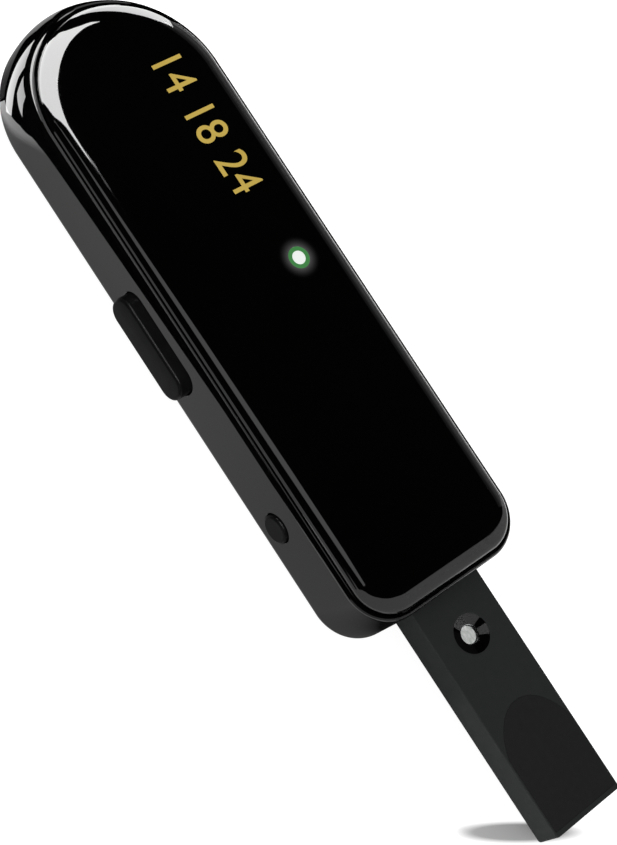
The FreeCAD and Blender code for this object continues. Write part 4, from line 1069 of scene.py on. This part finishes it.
def lamp(name, azimuth, elevation, distance, size, radiance, aim=(0, 0, 0)):
    """A square lamp that lights without being mirrored. Its power is pi times its area times the radiance
    of its face."""
    away = toward(azimuth, elevation)
    data = bpy.data.lights.new(name, "AREA")
    data.size = size
    data.energy = radiance * math.pi * size ** 2
    thing = bpy.data.objects.new(name, data)
    bpy.context.scene.collection.objects.link(thing)
    thing.rotation_euler = away.to_track_quat("Z", "Y").to_euler()
    thing.location = Vector(aim) + distance * away
    thing.visible_camera = False
    thing.visible_glossy = False
    return thing


def light_only(source, *pieces):
    """Let only the named pieces take a source's light."""
    takers = bpy.data.collections.new(source.name + "_takers")
    for piece in pieces:
        takers.objects.link(piece)
    source.light_linking.receiver_collection = takers


shadow_aim = (-6 * MM, -79 * MM, 0)
lamp("key", azimuth=195, elevation=50, distance=0.9, size=0.45, radiance=2.0)
shadow_lamp = lamp(
    "shadow_lamp", azimuth=60, elevation=24, distance=0.5, size=0.06, radiance=520.0, aim=shadow_aim)
arm_fill = lamp("arm_fill", azimuth=205, elevation=12, distance=0.9, size=0.3, radiance=4.5)
light_only(shadow_lamp, floor)
light_only(arm_fill, arm, pad)
print("lamps:", len(bpy.data.lights))

# %% [markdown]
# ## Sheets that only reflections see
# A black mirror shows no lamp light, it shows shapes. So the polished pieces are lit with sheets, as a
# studio does with softboxes and black flags. A card glows and adds its light to what lies behind it, and
# light linking keeps it to the pieces that it is for. A flag is black or dim and hides the floor from them.
# An image of a studio wrapped round the world would be quicker, but each edge of a highlight is placed here
# by the corner of a sheet that draws it. A sheet is a patch of a large dome, given by azimuth and elevation,
# or a level polygon just above the floor or overhead.

# %% Shapes of sheets
sky_reach = 6.0


def in_sky(*edges, across=73, up=13):
    """Part of a dome round the object. Each edge point is (azimuth, lower elevation, upper elevation), in
    degrees. Over the patch the elevation goes evenly from the lower broken line to the upper one, and each
    point is the dome's radius times (cos a cos e, sin a cos e, sin e)."""
    azimuth, low, high = np.array(edges, float).T
    u = np.linspace(azimuth[0], azimuth[-1], across)
    v = np.linspace(0, 1, up)[:, None]
    e = np.radians((1 - v) * np.interp(u, azimuth, low) + v * np.interp(u, azimuth, high))
    a = np.radians(np.broadcast_to(u, e.shape))
    grid = sky_reach * np.stack([np.cos(a) * np.cos(e), np.sin(a) * np.cos(e), np.sin(e)], -1)
    index = np.arange(across * up).reshape(up, across)
    quads = np.stack([index[:-1, :-1], index[:-1, 1:], index[1:, 1:], index[1:, :-1]], -1)
    return grid.reshape(-1, 3), quads.reshape(-1, 4).tolist()


def level(height, *corners):
    """A level sheet: one polygon of (x, y) corners at one height, all given in millimetres."""
    return np.array([(x, y, height) for x, y in corners]) * MM, [list(range(len(corners)))]


print("dome radius %.0f m" % sky_reach)


# %% Flags and cards
def mirror_sheet(name, surface, radiance, clear):
    """A glowing sheet that only reflections see. A clear one adds its glow to what lies behind it."""
    glow = bpy.data.materials.new(name)
    glow.use_nodes = True
    tree = glow.node_tree
    tree.nodes.remove(tree.nodes["Principled BSDF"])
    shine = tree.nodes.new("ShaderNodeEmission")
    shine.inputs["Strength"].default_value = radiance
    result = shine.outputs[0]
    if clear:
        through = tree.nodes.new("ShaderNodeBsdfTransparent")
        both = tree.nodes.new("ShaderNodeAddShader")
        tree.links.new(shine.outputs[0], both.inputs[0])
        tree.links.new(through.outputs[0], both.inputs[1])
        result = both.outputs[0]
    tree.links.new(result, tree.nodes["Material Output"].inputs["Surface"])
    sheet = make_piece(name, surface)
    coat(sheet, glow)
    for kind in ("camera", "diffuse", "transmission", "volume_scatter", "shadow"):
        setattr(sheet, "visible_" + kind, False)
    print("%-16s %4d faces" % (name, len(sheet.data.polygons)))
    return sheet


def flag(name, surface):
    """A black sheet that hides the floor from reflections, until fade gives it a dim glow."""
    return mirror_sheet(name, surface, 0.0, clear=False)


def card(name, surface, radiance, *pieces):
    """A glowing sheet whose light only the named pieces take, by light linking."""
    light_only(mirror_sheet(name, surface, radiance, clear=True), *pieces)


# %% [markdown]
# ## Flags on the floor
# Without flags the white floor would fill the case's side and lip with grey. The flags are level polygons a
# hair above the floor, each a little higher than the one it overlaps. Three of them fade from one end to
# the other, as a sheet of paper does when it curls out of the light. The fade could be a gradient texture,
# but the dot product of the place with a step says just where it starts and ends.

# %% Flags on the floor
def fade(sheet, start, end, near_radiance, far_radiance):
    """Let a sheet's glow go evenly from one radiance at a start point to another at an end point, in mm.
    The share of the way is (place minus start) dot step, over the step's length squared."""
    tree = sheet.active_material.node_tree
    place = tree.nodes.new("ShaderNodeTexCoord")
    step = Vector((*end, 0)) * MM - Vector((*start, 0)) * MM
    along = tree.nodes.new("ShaderNodeVectorMath")
    along.operation = "DOT_PRODUCT"
    along.inputs[1].default_value = step / step.length_squared
    tree.links.new(place.outputs["Object"], along.inputs[0])
    offset = -(Vector((*start, 0)) * MM).dot(step) / step.length_squared
    share = tree.nodes.new("ShaderNodeMapRange")
    tree.links.new(maths(tree, "ADD", along.outputs["Value"], offset), share.inputs["Value"])
    share.inputs["To Min"].default_value = near_radiance
    share.inputs["To Max"].default_value = far_radiance
    tree.links.new(share.outputs["Result"], tree.nodes["Emission"].inputs["Strength"])


flag_heights = (0.05, 0.10, 0.15, 0.20)
near_floor = flag("near_floor", level(
    flag_heights[0], (-22, 8), (-12, 8), (-12, -34), (-12, -60), (-22, -60)))
fade(near_floor, (-16, 6), (-16, -30), 0.62, 0.47)
near_corner = flag("near_corner", level(
    flag_heights[1], (-24, -48), (-13, -37), (16, -37), (16, -60), (-22, -60)))
fade(near_corner, (-17, -41), (-9, -49), 0.45, 0.01)
flag("flag_side", level(
    flag_heights[2], (-13.3, 42.9), (-16.0, 40.1), (-17.3, 38.7), (-18.5, 35.8), (-18.9, 32.6), (-19.05, 30),
    (-20.3, -10), (-21.5, -22), (-32, -27), (-60, -32), (-600, -60), (-600, 600), (600, 600), (600, 120),
    (16, 44), (13, 36), (0, 44), (-9, 41), (-12.5, 42)))
dim_rim = flag("dim_rim", level(
    flag_heights[3], (-12.9, 43.3), (-10.8, 46.8), (-8.2, 49.5), (-4.5, 51.8), (-2, 56), (3, 58), (5, 53),
    (9, 50.5), (9, 44), (0, 44), (-9, 41), (-12, 41)))
fade(dim_rim, (-11, 45), (1, 55), 0.10, 0.55)

# %% [markdown]
# ## Cards for the panel's highlights
# The panel has one bright wedge round its round end, a thinner one down its left edge, and a soft glow
# along the rest of its rim. The crown is steep only near the seam, so a highlight there is thin and its
# edges follow the rim. One softbox would give one blob. Each wedge has a card of its own instead, whose
# broken edge is drawn where the highlight begins and ends.

# %% Cards for the panel's round end
card("end_box", in_sky(
    (42, 43.6, 44), (46, 42.8, 46), (50, 43.5, 51), (54, 43.2, 59), (57, 43, 62.5), (58.5, 42.7, 66),
    (59.5, 42.5, 72), (60, 42.3, 75), (63, 41.5, 75.3), (66, 40.3, 75.2), (72, 36, 74.6), (77, 29, 73.4),
    (83, 18, 72.5), (88, 0, 71.5), (95, 0, 69.5), (110, 0, 66), (121, 0, 61), (132, 0, 47), (136, 0, 31),
    (137, 2, 20)), 16.5, panel)
card("end_tail", in_sky((54, 74.0, 74.2), (56, 74.0, 74.9), (60, 74.6, 75.2), (63, 75.0, 75.3)), 4.5, panel)
card("end_tail_tip", in_sky((53, 74.4, 74.8), (55, 74.9, 75.5), (59, 75.3, 75.8)), 1.5, panel)
card("side_box", in_sky(
    (27, 27.9, 28), (29, 20, 29.5), (31, 10, 31), (36, 0, 32.6), (53, 0, 33), (60, 0, 25), (65, 0, 12),
    (67, 0, 1)), 12.0, panel)

# %% Cards for the panel's left edge
card_height, overhead = 0.4, 600
card("floor_glow", level(
    card_height, (-5, 68), (-7, 400), (-300, 600), (-466, 429), (-88, 101), (-47, 71), (-32, 62), (-18, 64)),
    8.0, panel)
card("floor_edge", level(
    card_height, (9, 62), (20, 110), (70, 400), (250, 300), (60, 95), (25, 62)), 6.0, panel)
card("left_floor", level(
    card_height, (-21.5, 33), (-21.5, -26), (-32, -30), (-60, -34), (-600, -60), (-600, 200), (-120, 60),
    (-40, 40)), 0.9, panel)
card("left_card", in_sky((165, 0, 1), (172, 0, 6), (177, 0, 15), (182, 0, 28), (183, 0, 30)), 1.0, panel)
card("over_strip", level(
    overhead, (-22, 166), (-32, 132), (-16.5, 65.7), (-2.5, 0.7), (10.9, -41.7), (25, -63), (45, -63),
    (59.7, -41.8), (55.4, 1.0), (35.6, 66.4), (3, 130), (-12, 170), (-60, 214), (-160, 247), (-330, 272),
    (-160, 228), (-70, 188)), 1.4, panel)

# %% Cards for the panel's foot and right edge
card("foot_box", in_sky(
    (-177, 0, 60), (-170, 0, 72), (-150, 0, 84), (-100, 0, 86), (-79, 0, 83.5), (-59, 0, 72.3),
    (-49, 0, 64.7), (-41, 0, 58.8), (-33, 0, 50), (-26, 0, 43.3), (-15, 0, 30.1), (-5, 0, 24),
    (28, 0, 20)), 1.0, panel)
right_glows = {"low": (18, 23, 1.1), "middle": (22, 27, 0.3), "high": (24, 29.5, 0.2), "top": (26, 33, 0.12)}
for place, (lower, upper, radiance) in right_glows.items():
    card("right_glow_" + place, in_sky((-10, lower, upper), (30, lower, upper)), radiance, panel)

# %% [markdown]
# ## Card for the buttons' edges
# A black button on a black case shows by the thin bright line along its rounded edge. A brighter plastic
# would show it too, but would be grey all over. One wide card overhead gives every stretch of the edge
# something to mirror.

# %% Card for the buttons' edges
card("key_edge", in_sky((100, 56, 84), (250, 56, 84)), 13.0, long_key, round_key)

# %% [markdown]
# ## Cards for the metals, the print and the well
# A metal with nothing to mirror is black. The disc, the liner and the gold print each get a wide soft card,
# and the polished well gets three that draw the light and dark fans on its cone. One bright world would
# serve them all, but it would wash out the panel.

# %% Cards for the metals, the print and the well
card("metal_box", in_sky((-40, 30, 88), (60, 30, 88)), 0.6, disc)
card("liner_box", in_sky((-115, 35, 62), (-60, 15, 62), (-20, 12, 50)), 1.6, liner)
card("print_box", in_sky((-180, 20, 88), (180, 20, 88)), 0.6, numerals)
card("funnel_box", in_sky(
    (-104, 50, 72), (-90, 45, 68), (-72, 35, 60), (-57, 25, 50), (-44, 16, 40), (-37, 12, 33), (-28, 12, 28)),
    0.85, arm)
card("funnel_side", in_sky((108, 66, 82), (160, 66, 84), (212, 70, 84)), 1.0, arm)
card("funnel_low", in_sky((-22, 4, 30), (0, 4, 22), (32, 14, 38)), 0.03, arm)

# %% [markdown]
# ## Cards for the tub
# The tub's lip is a thin round that runs all the way about the case, and each stretch of it mirrors another
# part of the sky. So bright cards stand behind the round end and dim ones over the long sides, and two small
# sheets on the floor brighten the wall under the round end.

# %% Cards for the tub
card("lip_box", in_sky(
    (74, 30, 42), (80, 26, 44), (88, 22, 44), (100, 20, 45), (112, 20, 46), (124, 30, 50), (132, 45, 50)),
    14.0, tub)
card("lip_high", in_sky(
    (66, 46, 53), (75, 44, 60), (85, 46, 65), (105, 46, 62), (130, 48, 58), (138, 50, 54)), 3.5, tub)
card("lip_side", in_sky((58, 19, 30), (63, 17, 30), (66, 20, 28)), 4.5, tub)
card("lip_dim", in_sky((40, 0, 20), (60, 0, 20)), 0.7, tub)
card("lip_line", in_sky((-5, 60, 77), (13, 58, 78), (30, 58, 84)), 0.7, tub)
card("lip_top", in_sky((28, 58, 84), (60, 60, 88), (90, 64, 88), (125, 62, 88), (150, 60, 84)), 1.3, tub)
card("lip_foot", in_sky((-170, 0, 40), (-60, 0, 40), (-30, 0, 22)), 0.5, tub)
card("floor_patch", level(
    card_height, (-15.5, 40.5), (-14.3, 41), (-12, 47), (-9, 53.5), (-5, 61), (-10, 60), (-14, 56),
    (-14.2, 50), (-15.4, 43)), 4.5, tub)
card("floor_spot", level(
    card_height, (-18, 40.5), (-16, 46), (-16, 53.5), (-17.5, 51), (-19.5, 47.5), (-18.5, 44)), 4.5, tub)
sheets = [thing for thing in bpy.data.objects if thing.type == "MESH" and not thing.visible_camera]
print("sheets that only reflections see:", len(sheets))

# %% [markdown]
# ## Colour
# The Standard view shows a colour as it is written, where a filmic one would bend the blacks and the white
# floor.

# %% Finish
bpy.context.scene.view_settings.view_transform = "Standard"
